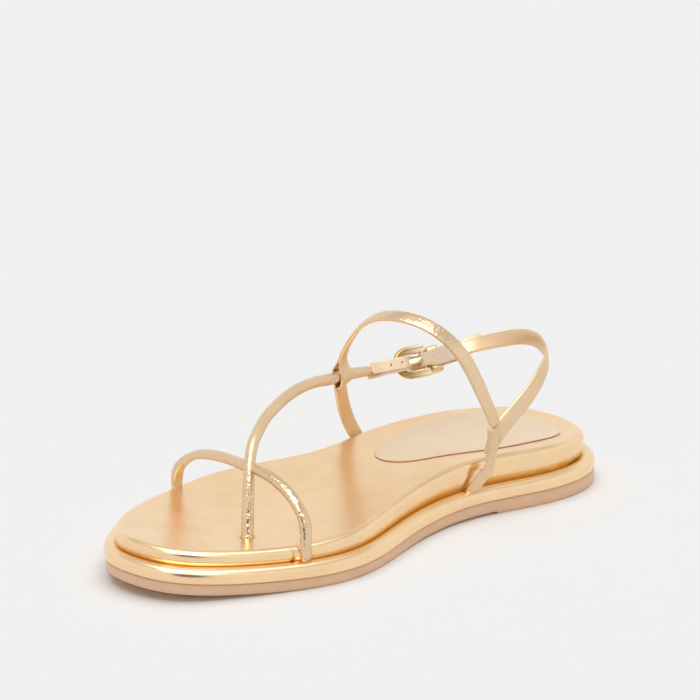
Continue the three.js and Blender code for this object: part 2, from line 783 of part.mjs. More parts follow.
// Elastic: up the inside, round the bar and back along the outside
function elasticGore() {
  const fold = barRadius + clearance + elasticThickness / 2;
  const frames = [];
  const plySteps = 6;
  const foldSteps = 8;
  const push = (place, shift, lean) => {
    const frame = slingFrame(place, shift);
    const out = frame.out.clone().multiplyScalar(Math.cos(lean));
    out.addScaledVector(frame.run, Math.sin(lean));
    frames.push({ ...frame, out });
  };
  for (let i = 0; i < plySteps; i += 1) push(mix(elasticEnd, barPlace, i / plySteps), -fold, Math.PI);
  for (let i = 0; i <= foldSteps; i += 1) {
    const angle = Math.PI * (i / foldSteps);
    push(barPlace - fold * Math.sin(angle), -fold * Math.cos(angle), Math.PI + angle);
  }
  for (let i = 1; i <= plySteps; i += 1) push(mix(barPlace, elasticEnd, i / plySteps), fold, 0);
  const strip = sweep(frames, sectionFlat, elasticWidth, elasticThickness);
  return cut(strip, [prong(clearance)]);
}

// Keeper: round the outer ply of the elastic and the billet
function keeperLoop() {
  const low = keeperWall / 2;
  const high = billetOuter + billetThickness / 2 + clearance;
  const half = elasticWidth / 2 + clearance;
  const box = (x0, x1, y) => {
    const shape = new THREE.Shape();
    shape.moveTo(x0, -y);
    shape.lineTo(x1, -y);
    shape.lineTo(x1, y);
    shape.lineTo(x0, y);
    return shape;
  };
  const ring = box(-low, high + keeperWall, half + keeperWall);
  ring.holes.push(box(low, high, half));
  const band = new THREE.ExtrudeGeometry(ring, { depth: keeperLength, bevelEnabled: false });
  band.translate(0, 0, -keeperLength / 2);
  const frame = slingFrame(keeperPlace);
  const side = new THREE.Vector3().crossVectors(frame.run, frame.out).normalize();
  band.applyMatrix4(new THREE.Matrix4().makeBasis(frame.out, side, frame.run));
  band.translate(frame.centre.x, frame.centre.y, frame.centre.z);
  return solid(band);
}

function footbed() {
  return cut(footbedBlank(), [
    toeStrap(3 * clearance),
    longStrap(clearance),
    instepStrap(clearance),
    sideTab(clearance),
  ]);
}

const finish = (color, metalness, roughness) =>
  new THREE.MeshStandardMaterial({ color, metalness, roughness });
const rubber = finish(0xcaa685, 0, 0.75);
const foil = finish(0xe6bf85, 0.8, 0.35);
const foilStrap = finish(0xdfc498, 0.85, 0.3);
const padLeather = finish(0xebd7bb, 0.3, 0.45);
const tabLeather = finish(0xe3c9a7, 0.5, 0.4);
const elasticWeave = finish(0xe4c5ae, 0, 0.8);
const brass = finish(0xb98f55, 1, 0.22);

const pieces = [
  ["outsole", outsole(), rubber],
  ["midsole_roll", midsoleRoll(), foil],
  ["footbed", footbed(), foil],
  ["heel_pad", heelPad(), padLeather],
  ["forefoot_straps", join([toeStrap(0), longStrap(0)]), foilStrap],
  ["ankle_straps", join([cut(instepStrap(0), [slotEye(), longStrap(clearance)]), sideTab(0), backStrap()]), foilStrap],
  ["buckle_billet", buckleBillet(), tabLeather],
  ["elastic_gore", elasticGore(), elasticWeave],
  ["buckle_frame", buckleFrame(), brass],
  ["buckle_prong", prong(), brass],
  ["keeper_loop", keeperLoop(), tabLeather],
];

const sandal = new THREE.Group();
for (const [name, body, material] of pieces) {
  const mesh = new THREE.Mesh(geometryOf(body), material);
  mesh.name = name;
  sandal.add(mesh);
}

export default sandal;
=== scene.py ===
import math
import bpy
import numpy as np
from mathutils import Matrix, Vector


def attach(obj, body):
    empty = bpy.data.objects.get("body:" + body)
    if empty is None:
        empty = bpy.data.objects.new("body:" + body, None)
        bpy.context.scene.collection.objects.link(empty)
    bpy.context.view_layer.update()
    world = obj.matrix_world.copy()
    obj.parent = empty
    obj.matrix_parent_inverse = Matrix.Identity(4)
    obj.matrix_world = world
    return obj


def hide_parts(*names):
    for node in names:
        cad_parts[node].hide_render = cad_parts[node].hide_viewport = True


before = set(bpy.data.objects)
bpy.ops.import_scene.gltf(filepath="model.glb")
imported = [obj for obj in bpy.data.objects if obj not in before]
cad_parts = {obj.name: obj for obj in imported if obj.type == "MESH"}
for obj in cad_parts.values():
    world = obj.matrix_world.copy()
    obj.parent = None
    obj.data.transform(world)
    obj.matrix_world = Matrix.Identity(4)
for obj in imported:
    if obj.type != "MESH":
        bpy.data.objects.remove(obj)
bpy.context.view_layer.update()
print("frame loaded:", ", ".join(sorted(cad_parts)))

# Lengths below are in millimetres, and meshes are stored in metres.
# +Z is up, the toes point along -Y and the big toe's side is +X.


def unit(v):
    # each vector over its own length
    return v / np.maximum(np.linalg.norm(v, axis=-1, keepdims=True), 1e-9)


def ease(x):
    # 3x^2 - 2x^3 between 0 and 1
    x = np.clip(x, 0.0, 1.0)
    return x * x * (3 - 2 * x)


def bump(x):
    # smooth hump: 1 at x = 0, down to 0 at x = -1 and 1
    return ease(1 - np.abs(x))


def lattice(cells, seed):
    # a number from 0 to 1 for each whole-number cell: the loose end of a large sine
    mixed = cells @ np.array([127.1, 311.7, 74.7]) + seed * 53.17
    return np.modf(np.abs(np.sin(mixed)) * 43758.5453)[0]


def softNoise(points, cell, seed):
    # values from -1 to 1 that vary smoothly: eased blend of the eight corners of each cell
    scaled = np.asarray(points) / cell
    low = np.floor(scaled)
    share = ease(scaled - low)
    total = np.zeros(scaled.shape[:-1])
    for corner in np.ndindex(2, 2, 2):
        weight = np.prod(np.where(corner, share, 1 - share), axis=-1)
        total += weight * lattice(low + corner, seed)
    return 2 * total - 1


def addObject(name, data):
    # object in the scene, at the origin
    made = bpy.data.objects.new(name, data)
    bpy.context.scene.collection.objects.link(made)
    return made


def makePiece(name, points, faces, replaced, marks=None):
    # quads over points in mm, turned so that the volume is positive; a doubled corner leaves a triangle
    a, b, c, d = (points[faces[:, k]] for k in range(4))
    if np.einsum("ij,ij->", a, np.cross(b, c) + np.cross(c, d)) < 0:
        faces = faces[:, ::-1]
    rows = [list(dict.fromkeys(row)) for row in faces.tolist()]
    mesh = bpy.data.meshes.new(name)
    mesh.from_pydata((points * 0.001).tolist(), [], [row for row in rows if len(row) > 2])
    mesh.polygons.foreach_set("use_smooth", np.full(len(mesh.polygons), True))
    for label, values in (marks or {}).items():
        layer = mesh.attributes.new(label, "FLOAT", "POINT")
        layer.data.foreach_set("value", np.asarray(values, np.float32))
    mesh.update()
    piece = addObject(name, mesh)
    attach(piece, "root")
    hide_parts(replaced)
    return piece


def tubeFaces(count, around, first):
    # quads between neighbouring rings of a closed section, then a fan at each end's own centre point
    rows = np.arange(count - 1)[:, None] * around + first
    here = np.arange(around)
    there = (here + 1) % around
    quads = np.stack([rows + here, rows + there, rows + around + there, rows + around + here], -1)
    start = np.full(around, first + count * around)
    final = first + (count - 1) * around
    capA = np.stack([start, there + first, here + first, start], -1)
    capB = np.stack([start + 1, here + final, there + final, start + 1], -1)
    return np.vstack([quads.reshape(-1, 4), capA, capB])


def joinTubes(tubes, marks):
    # several tubes in one mesh: points and marks stacked, faces shifted by the points before them
    points, faces, levels, count = [], [], [], 0
    for rings, mark in zip(tubes, marks):
        points += [rings.reshape(-1, 3), np.array([rings[0].mean(0), rings[-1].mean(0)])]
        faces.append(tubeFaces(*rings.shape[:2], count))
        count += rings.shape[0] * rings.shape[1] + 2
        level = np.broadcast_to(mark, rings.shape[:2]).reshape(-1)
        levels += [level, [level[0], level[-1]]]
    return np.vstack(points), np.vstack(faces), np.concatenate(levels)


# The last: its outline and heights are followed by every layer. Both sides are shares of half the ball's
# width, from the heel's end to the toe's, at even steps of the turn round the outline.
last = {
    "length": 260.0, "ballWidth": 108.3, "toeSpring": 5.2, "springStart": 0.7,
    "medial": [0.028, 0.463, 0.711, 0.733, 0.63, 0.753, 0.993, 0.881, 0.67, 0.395, -0.011],
    "lateral": [0.028, -0.406, -0.637, -0.757, -0.772, -0.779, -0.981, -0.938, -0.682, -0.338, -0.011],
    "turns": 640, "gap": 0.3,
    "spineReach": 0.72,  # the spine's length over the outline's
    "spineEnd": 90.0,  # how far from the middle the sides begin to turn round an end
    "heelReach": 0.2,  # share of the length that counts as the heel's end
}


def closedSpline(medial, lateral):
    # cubic B-spline over a full turn; its control values are solved so that it meets every row
    values = np.array(medial + lateral[-2:0:-1])
    control = values.copy()
    for _ in range(40):
        control = (6 * values - np.roll(control, 1) - np.roll(control, -1)) / 4
    count = len(values)

    def share(turn):
        place = np.mod(turn / (2 * np.pi) * count, count)
        i = np.floor(place).astype(int) % count
        t = place - np.floor(place)
        a, b, c, d = (control[(i + k) % count] for k in (-1, 0, 1, 2))
        second, third = 3 * t**3 - 6 * t**2 + 4, -3 * t**3 + 3 * t**2 + 3 * t + 1
        return ((1 - t) ** 3 * a + second * b + third * c + t**3 * d) / 6

    return share


def outlineOf(share, halfWidth, length, heelY):
    # y falls with the cosine of the turn, x is the spline's share of the half width
    centre = heelY - length / 2

    def point(turn):
        return np.stack([halfWidth * share(turn), centre + length / 2 * np.cos(turn)], -1)

    def inset(turn, depth):
        # moved inwards, square to the outline's run
        run = unit(point(turn + 0.01) - point(turn - 0.01))
        return point(turn) + np.expand_dims(depth, -1) * np.stack([run[..., 1], -run[..., 0]], -1)

    def spine(turn):
        # halfway between both sides, drawn towards the middle of the length
        middle = (point(turn)[..., 0] + point(-turn)[..., 0]) / 2
        return np.stack([middle, centre + last["spineReach"] * (point(turn)[..., 1] - centre)], -1)

    return inset, spine


soleInset, soleSpine = outlineOf(
    closedSpline(last["medial"], last["lateral"]), last["ballWidth"] / 2, last["length"], last["length"] / 2)
soleTurns = 2 * np.pi * np.arange(last["turns"]) / last["turns"]


def heelShare(turn):
    # 1 at the heel's end, eased to 0 over its reach
    return ease(1 - (1 - np.cos(turn)) / 2 / last["heelReach"])


def alongOf(y):
    # share of the length: 0 at the heel's end, 1 at the toe's
    return 0.5 - y / last["length"]


def alongToY(along):
    # the way back from alongOf
    return last["length"] * (0.5 - along)


def across(share):
    # x from a share of half the ball's width
    return share * last["ballWidth"] / 2


def between(alongs, values, x):
    # cubic through the rows, each row's slope taken across its two neighbours
    alongs, values = np.array(alongs), np.array(values)
    top = len(alongs) - 1
    before, after = np.maximum(np.arange(top + 1) - 1, 0), np.minimum(np.arange(top + 1) + 1, top)
    slope = (values[after] - values[before]) / (alongs[after] - alongs[before])
    i = np.clip(np.searchsorted(alongs, x) - 1, 0, top - 1)
    span = alongs[i + 1] - alongs[i]
    t = np.clip((x - alongs[i]) / span, 0, 1)
    rise = values[i] + (values[i + 1] - values[i]) * t * t * (3 - 2 * t)
    return rise + span * (slope[i] * t * (1 - t) ** 2 - slope[i + 1] * t * t * (1 - t))


def springOf(along):
    # toe spring: grows with the square of the way past its start
    return last["toeSpring"] * np.maximum(0, (along - last["springStart"]) / (1 - last["springStart"])) ** 2


def soleRing(inset, into, height):
    # outline drawn in by inset, then towards the spine by a share, at the height given for each place
    flat = soleInset(soleTurns, inset) * (1 - into) + soleSpine(soleTurns) * into
    return np.column_stack([flat, height(alongOf(flat[:, 1]), into)])


def soleSurface(rings):
    # rings from one spine to the other; both end rings fold onto their spine, so the shell closes
    count, around = len(rings), last["turns"]
    index = np.arange(count * around).reshape(count, around)
    folded = np.minimum(np.arange(around), (-np.arange(around)) % around)
    index[0], index[-1] = index[0][folded], index[-1][folded]
    beside = np.roll(index, -1, axis=1)
    faces = np.stack([index[:-1], beside[:-1], beside[1:], index[1:]], -1).reshape(-1, 4)
    used, inverse = np.unique(faces, return_inverse=True)
    return np.vstack(rings)[used], inverse.reshape(faces.shape), used // around  # the last is each point's ring


def soleSide(points):
    # outward direction in plan, from the spine's line
    x, y = points[:, 0], points[:, 1]
    middle = soleSpine(np.arccos(np.clip(y / (last["length"] / 2), -1, 1)))[:, 0]
    end = np.sign(y) * np.maximum(0, np.abs(y) - last["spineEnd"])
    return unit(np.column_stack([x - middle, end]))


outsole = {
    "heel": 6.5, "fore": 4.7, "inset": 0.8, "bevel": 0.4, "topRound": 0.35, "bulge": 0.12,
    "dropFrom": 0.3, "dropOver": 0.35,  # where the heel's thickness passes into the forefoot's
    "waistRise": 1.2, "breast": 0.29, "waistEnd": 0.56, "breastSlope": 0.003,
    "waistFall": [(0, 1), (0.45, 0.85), (1, 0)],
}


def outsoleTop(along):
    # thickness eased from heel to forefoot, on top of the toe spring
    drop = ease((along - outsole["dropFrom"]) / outsole["dropOver"])
    return outsole["heel"] + (outsole["fore"] - outsole["heel"]) * drop + springOf(along)


def outsoleFloor(along):
    # toe spring, and the raised waist: up in one step at the breast, down to nothing at its end
    past = along - outsole["breast"]
    fall = np.interp(past / (outsole["waistEnd"] - outsole["breast"]), *zip(*outsole["waistFall"]))
    return springOf(along) + outsole["waistRise"] * fall * np.clip(past / outsole["breastSlope"], 0, 1)


def buildOutsole():
    # flat floor, small bevel, straight wall and a small rounded top edge
    s = outsole
    rings = []

    def add(inset, intos, height):
        rings.extend(soleRing(s["inset"] + inset, into, lambda along, _: height(along)) for into in intos)

    add(s["bevel"], (1, 0.75, 0.5, 0.25, 0.1, 0), outsoleFloor)
    add(0, [0], lambda along: outsoleFloor(along) + s["bevel"])
    for share in (0.3, 0.6, 0.9):
        add(-s["bulge"] * math.sin(math.pi * share), [0], lambda along: (
            (1 - share) * (outsoleFloor(along) + s["bevel"]) + share * (outsoleTop(along) - s["topRound"])))
    for turn in (0, math.pi / 4, math.pi / 2):
        add(s["topRound"] * (1 - math.cos(turn)), [0],
            lambda along: outsoleTop(along) - s["topRound"] * (1 - math.sin(turn)))
    add(s["topRound"], (0.2, 0.6, 1), outsoleTop)
    points, faces, _ = soleSurface(rings)
    return makePiece("rubber_outsole", points, faces, "outsole")


roll = {
    "height": 5.7, "round": 3.8, "heelIn": 0.5, "gap": 0.06, "ledge": 7.2, "ledgeDrop": 2.2,
    "creaseShadeFrom": 3.1, "creaseShadeOver": 3.0, "creaseShadeAbove": 3,  # painted shade of the crease starts this far in and up
    # inset and height of its profile, as shares of its round and height
    "rows": [
        (0.24, 0.0), (0.1, 0.07), (0.03, 0.2), (0.0, 0.44), (0.05, 0.66), (0.19, 0.86), (0.42, 1.01),
        (0.72, 1.1), (1.0, 1.12), (1.3, 1.1), (1.6, 1.05), (1.86, 0.97),
    ],
    "steps": 40,
}


def rollBottom(along):
    # just over the outsole
    return outsoleTop(along) + roll["gap"]


def rollTop(along):
    # the roll's height over the outsole and the gap
    return outsoleTop(along) + last["gap"] + roll["height"]


def splineRows(rows, count):
    # smooth open curve through given rows, at even steps of its length
    rows = np.array(rows, float)
    steps = np.concatenate([[0], np.cumsum(np.linalg.norm(np.diff(rows, axis=0), axis=1))])
    at = np.linspace(0, steps[-1], count)
    return np.column_stack([between(steps, rows[:, k], at) for k in range(rows.shape[1])])


def buildRoll():
    # padded edge over the outsole: round outside, highest over its middle, falling into the crease
    s = roll
    profile = splineRows(np.array(s["rows"]) * [s["round"], s["height"]], s["steps"])
    heelIn = s["heelIn"] * heelShare(soleTurns)
    rings = [soleRing(s["ledge"], into, lambda along, _: rollBottom(along)) for into in (1, 0.5, 0)]
    for inset, up in profile:
        share = up / s["height"]
        rings.append(soleRing(
            inset + heelIn, 0, lambda along, _: (1 - share) * rollBottom(along) + share * rollTop(along)))
    for into in (0, 0.5, 1):
        rings.append(soleRing(s["ledge"], into, lambda along, _: rollTop(along) - s["ledgeDrop"]))
    # painted shade: the roll's foil is tinted darker as it runs into the crease under the footbed
    shade = ease((profile[:, 0] - s["creaseShadeFrom"]) / s["creaseShadeOver"]) * (profile[:, 1] > s["creaseShadeAbove"])
    points, faces, ring = soleSurface(rings)
    fold = np.concatenate([[0] * 3, shade, [1] * 3])[ring]
    return makePiece("wrapped_roll", points, faces, "midsole_roll", {"fold": fold})


footbed = {
    "height": 12.8, "inset": 4.9, "round": 3.1, "dishDepth": 2.8, "dishCurve": 2.2, "heelIn": 1.2, "sink": 1.4,
    "along": [0, 0.1, 0.2, 0.35, 0.5, 0.65, 0.8, 1],
    "rise": [0.77, 0.9, 0.99, 1, 0.79, 0.63, 0.5, 0.59],
    "dish": [0.35, 0.85, 1, 0.75, 0.5, 0.6, 0.5, 0.12],
    "seatAt": 0.35, "foreAt": 0.746,  # places whose heights the straps are measured from
    # inset in mm and share of the height, from the crease up
    "side": [(2.25, 0.0), (1.8, 0.09), (1.3, 0.19), (0.86, 0.3), (0.5, 0.42), (0.24, 0.55), (0.08, 0.69),
             (0.0, 0.85), (0.0, 1.0)],
    "sideSteps": 34, "roundSteps": 16, "topSteps": 84, "topSpacing": 1.15,
    "creaseShadeFrom": 0.14, "creaseShadeOver": 0.52,  # the crease's painted shade fades up the side
    "outerLift": {"height": 1.3, "place": 0.6, "reach": 0.17, "over": 5, "from": 6, "width": 30},
    "post": {"hole": 2.9, "drop": 2.4, "dimple": 0.15, "dimpleWidth": 6.5, "shade": 0.8, "shadeReach": 6.0,
             "shadeOver": 4, "ridge": 0.25, "ridgeAt": 4.0, "ridgeWidth": 1.2, "ridgeCell": 2.0},
    "puckers": {"depth": 0.34, "height": 1.0, "spread": 2.0, "end": 0.28, "over": 0.12, "cell": 1.3},
    # pressed-in spots of the side beside the strap ends: x, y, width, depth
    "dents": [(47.0, -69.9, 1.1, 0.9), (34.5, 36.4, 2.2, 0.8)],
    "dentReach": 7.0, "dentOver": 4,
}


def footbedBottom(along):
    # a gap over the roll
    return rollTop(along) + last["gap"]


def footbedEdge(along):
    # height of the upper edge, from the table along the sole
    return footbedBottom(along) + footbed["height"] * between(footbed["along"], footbed["rise"], along)


def footbedTop(along, into):
    # edge height less the dish, which falls fastest beside the edge
    dish = footbed["dishDepth"] * between(footbed["along"], footbed["dish"], along)
    return footbedEdge(along) - dish * (1 - (1 - into) ** footbed["dishCurve"])


def topAt(along, into):
    # one height of the footbed's top, as a plain number
    return float(footbedTop(np.array([along]), into)[0])


seatTop = topAt(footbed["seatAt"], 1)
foreTop = topAt(footbed["foreAt"], 0.5)


def strapPoints(rows, base, rise):
    # given rows of a strap: across, along, and height over a base as a share of the strap's rise
    rows = np.array(rows, float)
    return np.column_stack([across(rows[:, 0]), alongToY(rows[:, 1]), base + rows[:, 2] * rise])


# Seams: how far a strap's end goes in under the footbed, and how far it has risen at the footbed's edge
seam = {"under": 3.0, "rise": 1.5}


def seamPoints(along, side, lift, inset):
    # a strap's end runs down the footbed's side and in under it
    turn = np.array([side * math.acos(1 - 2 * along)])
    low = float(footbedBottom(np.array([along]))[0]) + lift
    under, edge = soleInset(turn, inset + seam["under"])[0], soleInset(turn, inset)[0]
    return np.array([[*under, low], [*edge, low + seam["rise"]]])


def curveThrough(points, step):
    # centripetal Catmull-Rom curve: spans weighted by the root of their chords, then even steps of length
    p = np.vstack([2 * points[0] - points[1], points, 2 * points[-1] - points[-2]])
    span = np.sqrt(np.linalg.norm(np.diff(p, axis=0), axis=1))[:, None]
    d0, d1, d2 = span[:-2], span[1:-1], span[2:]
    p0, p1, p2, p3 = p[:-3], p[1:-2], p[2:-1], p[3:]
    m1 = ((p1 - p0) / d0 - (p2 - p0) / (d0 + d1) + (p2 - p1) / d1) * d1
    m2 = ((p2 - p1) / d1 - (p3 - p1) / (d1 + d2) + (p3 - p2) / d2) * d1
    t = np.linspace(0, 1, 40, endpoint=False)[None, :, None]
    a, b, m, n = (x[:, None, :] for x in (p1, p2, m1, m2))
    dense = (2 * a - 2 * b + m + n) * t**3 + (-3 * a + 3 * b - 2 * m - n) * t**2 + m * t + a
    dense = np.vstack([dense.reshape(-1, 3), p2[-1]])
    length = np.concatenate([[0], np.cumsum(np.linalg.norm(np.diff(dense, axis=0), axis=1))])
    at = np.linspace(0, length[-1], max(2, int(round(length[-1] / step)) + 1))
    return np.column_stack([np.interp(at, length, dense[:, k]) for k in range(3)]), length[-1]


def framesOn(curve, out):
    # run along the curve, out squared to it, side across both
    run = unit(np.gradient(curve, axis=0))
    out = unit(out - (out * run).sum(-1, keepdims=True) * run)
    return {"centre": curve, "run": run, "out": out, "side": np.cross(run, out)}


def carried(values):
    # one value a ring, with the first and the last repeated for the three rings of each rounded end
    return np.concatenate([values[:1]] * 3 + [values] + [values[-1:]] * 3)


def sweep(frames, section, half, deep, endRound=0.6):
    # section (across, out) carried on the frames; each end closes over a quarter round
    n = len(frames["centre"])
    half, deep = np.broadcast_to(half, n), np.broadcast_to(deep, n)
    section = np.broadcast_to(section, (n, *np.shape(section)[-2:]))
    rings = (frames["centre"][:, None, :]
             + (section[..., 0] * half[:, None])[..., None] * frames["side"][:, None, :]
             + (section[..., 1] * deep[:, None])[..., None] * frames["out"][:, None, :])
    angles = np.array([0.35, 0.7, 0.95])[:, None, None] * math.pi / 2
    caps = []
    for end, sign in ((0, -1), (-1, 1)):
        middle = frames["centre"][end]
        shrink = 1 - (1 - np.cos(angles)) * 0.9
        cap = middle + (rings[end] - middle) * shrink + sign * endRound * np.sin(angles) * frames["run"][end]
        caps.append(cap[::sign])
    return np.concatenate([caps[0], rings, caps[1]])


def pillow(count, power):
    # flat strap's section: a rounded box, x^p + y^p = 1
    turn = 2 * np.pi * np.arange(count) / count
    c, s = np.cos(turn), np.sin(turn)
    size = (np.abs(c) ** power + np.abs(s) ** power) ** (-1 / power)
    return np.column_stack([c * size, s * size])


def dome(count):
    # half-round section: round above, nearly flat below
    turn = 2 * np.pi * np.arange(count) / count
    c, s = np.cos(turn), np.sin(turn)
    x = np.sign(c) * np.abs(c) ** np.where(s < 0, 0.45, 0.95)
    return np.column_stack([x, np.where(s < 0, -1, 1) * np.abs(s) ** np.where(s < 0, 0.6, 0.9)])


def crinkle(rings, amount, cell, seed):
    # creased foil: points move out from their ring's centre by folded noise, sharp in the furrows;
    # the mark that comes with them is 1 from creases of a fourteenth of a millimetre up
    amount = carried(amount)[:, None] * np.ones(rings.shape[:2])
    away = unit(rings - rings.mean(axis=1, keepdims=True))
    furrows = (1 - np.abs(softNoise(rings, cell, seed))) ** 3
    shift = 0.6 - 1.6 * furrows + 0.5 * softNoise(rings, cell * 0.45, seed + 7)
    return rings + away * (amount * shift)[..., None], np.minimum(1, amount * 14)


def profileAt(rows, count):
    # value for each ring from rows of place and value, eased between them
    places, values = np.array(rows).T
    at = np.linspace(0, 1, count)
    i = np.clip(np.searchsorted(places, at) - 1, 0, len(places) - 2)
    share = ease((at - places[i]) / (places[i + 1] - places[i]))
    return values[i] + (values[i + 1] - values[i]) * share


# Straps: sizes in mm. A crinkle row is a place on the strap and how deep its creases are there, and a size
# row a place and a factor on its section.
toeStrap = {
    "rise": 26.2, "width": 5.3, "thickness": 3.9, "step": 0.3, "around": 40, "cell": 1.3, "seed": 3,
    "innerSeam": (0.758, 1, 0.6, 4.1), "outerInset": 5.6,
    "roundFrom": 0.72, "roundOver": 0.12, "roundPower": 2.1,  # half round first, then a round cord
    "axis": 0.25,  # height that its face turns round, as a share of the rise
    "crinkle": [(0.0, 0.0), (0.5, 0.0), (0.62, 0.01), (0.7, 0.07), (0.87, 0.08), (0.94, 0.02), (1.0, 0.01)],
    "size": [
        (0.0, 0.85), (0.1, 1.0), (0.5, 1.0), (0.53, 1.1), (0.565, 1.1), (0.585, 0.92), (0.7, 0.98),
        (0.9, 1.05), (1.0, 1.0),
    ],
    "rows": [
        (0.868, 0.7565, -0.03), (0.86, 0.7545, 0.173), (0.845, 0.752, 0.324), (0.815, 0.752, 0.509),
        (0.742, 0.753, 0.698), (0.643, 0.754, 0.844), (0.532, 0.755, 0.94), (0.426, 0.756, 0.995),
        (0.31, 0.757, 1.015), (0.195, 0.756, 1.007), (0.074, 0.754, 0.99), (-0.088, 0.752, 0.97),
        (-0.311, 0.75, 0.918), (-0.525, 0.748, 0.815), (-0.669, 0.748, 0.684), (-0.774, 0.748, 0.534),
        (-0.845, 0.748, 0.36), (-0.868, 0.748, 0.17), (-0.868, 0.748, 0.04),
    ],
}
longStrap = {
    "width": 5.2, "thickness": 5.0, "step": 0.3, "around": 40, "cell": 1.3, "seed": 11,
    "postDepth": 4.2, "postRings": 60, "postLean": (0.03, 0.004), "lap": 5.0, "facing": (0.5, -39.0, 0.6),
    "crinkle": [(0.0, 0.07), (0.18, 0.07), (0.24, 0.03), (0.29, 0.0), (1.0, 0.0)],
    "size": [
        (0.0, 1.05), (0.05, 1.04), (0.2, 0.95), (0.3, 0.97), (0.6, 1.0), (0.8, 1.06), (0.9, 1.08),
        (0.955, 0.95), (1.0, 0.45),
    ],
    "rows": [
        (0.372, 0.795, -0.105), (0.341, 0.789, -0.022), (0.299, 0.781, 0.088), (0.253, 0.772, 0.204),
        (0.206, 0.763, 0.299), (0.157, 0.752, 0.367), (0.096, 0.737, 0.421), (0.032, 0.717, 0.46),
        (-0.052, 0.69, 0.502), (-0.133, 0.654, 0.543), (-0.215, 0.615, 0.568), (-0.309, 0.571, 0.573),
        (-0.413, 0.521, 0.552), (-0.512, 0.471, 0.514),
    ],
}
sling = {
    "width": 7.2, "thickness": 1.6, "start": 57.5, "step": 0.3, "around": 44, "power": 3.2, "seed": 41,
    "buckleLean": 36.0, "ankleLean": -22.0, "buckleEnd": 0.58, "ankleStart": 0.6, "leanOver": 0.2,
    "narrow": [(0.17, 0.2), (0.28, 0.1)],  # width lost at its start and end, and over what share of its length
    "ankle": (0.04, 0.26),  # across and along of the upright line that it faces away from
    "rows": [
        (-0.604, 0.434, 0.489), (-0.612, 0.405, 0.48), (-0.612, 0.365, 0.467), (-0.598, 0.327, 0.46),
        (-0.568, 0.29, 0.467), (-0.54, 0.265, 0.474), (-0.491, 0.236, 0.483), (-0.427, 0.205, 0.51),
        (-0.344, 0.177, 0.548), (-0.251, 0.159, 0.582), (-0.141, 0.144, 0.614), (-0.011, 0.133, 0.649),
        (0.137, 0.13, 0.674), (0.285, 0.135, 0.677), (0.376, 0.142, 0.662), (0.447, 0.148, 0.64),
        (0.503, 0.157, 0.61), (0.543, 0.168, 0.583), (0.58, 0.182, 0.554), (0.61, 0.196, 0.522),
        (0.638, 0.217, 0.466), (0.652, 0.238, 0.41), (0.655, 0.262, 0.345), (0.651, 0.283, 0.285),
        (0.645, 0.299, 0.22), (0.638, 0.309, 0.15), (0.634, 0.314, 0.09),
    ],
}
instep = {
    "rise": 66.6, "width": 7.1, "thickness": 1.9, "tilt": 0.45, "step": 0.3, "around": 44, "power": 3.2,
    "cell": 1.3, "seed": 21, "seat": 5.6, "seamShift": 0.012, "axis": 1.4,
    "slotHalf": 8.5, "slotOpening": 5.8, "plySpare": 0.15,
    "plies": [(-1, 0.17, 1.22), (1, -0.12, 0.8)],  # of the slot: side, wider by, share of the opening
    "crinkle": [(0.0, 0.0), (0.55, 0.0), (0.6, 0.045), (0.75, 0.05), (0.8, 0.01), (1.0, 0.0)],
    "size": [(0.0, 1.0), (0.45, 1.0), (0.75, 0.95), (0.88, 0.9), (1.0, 0.78)],
    "rows": [
        (-0.709, 0.376, -0.017), (-0.726, 0.39, 0.087), (-0.729, 0.402, 0.21), (-0.703, 0.413, 0.328),
        (-0.654, 0.423, 0.412), (-0.611, 0.43, 0.476), (-0.587, 0.434, 0.555), (-0.55, 0.433, 0.656),
        (-0.5, 0.431, 0.738), (-0.436, 0.429, 0.812), (-0.347, 0.427, 0.891), (-0.242, 0.423, 0.952),
        (-0.141, 0.419, 0.988), (-0.03, 0.412, 1.004), (0.075, 0.404, 1.006), (0.173, 0.393, 0.989),
        (0.262, 0.381, 0.956), (0.336, 0.369, 0.909), (0.4, 0.358, 0.85), (0.478, 0.346, 0.76),
        (0.55, 0.335, 0.634), (0.603, 0.324, 0.5), (0.633, 0.313, 0.39), (0.646, 0.305, 0.3),
    ],
}
sideTab = {
    "around": 40, "step": 0.25, "power": 2.8, "facing": (1.0, -0.4, 0.12), "cell": 1.3, "seed": 31,
    # each ply: width at its foot and top, thickness, depth of its creases, rows from the foot up
    "plies": [
        (5.4, 5.4, 1.4, 0.0, [(0.562, 0.342, -0.172), (0.585, 0.3365, -0.125), (0.613, 0.3295, -0.075),
                              (0.63, 0.3245, -0.038), (0.633, 0.321, -0.005)]),
        (4.9, 4.7, 2.0, 0.02, [(0.637, 0.32, -0.052), (0.648, 0.3165, 0.03), (0.651, 0.313, 0.1),
                               (0.648, 0.3105, 0.15)]),
        (4.8, 5.8, 3.0, 0.01, [(0.642, 0.3115, 0.1), (0.645, 0.309, 0.16), (0.643, 0.307, 0.22),
                               (0.638, 0.306, 0.26)]),
    ],
}
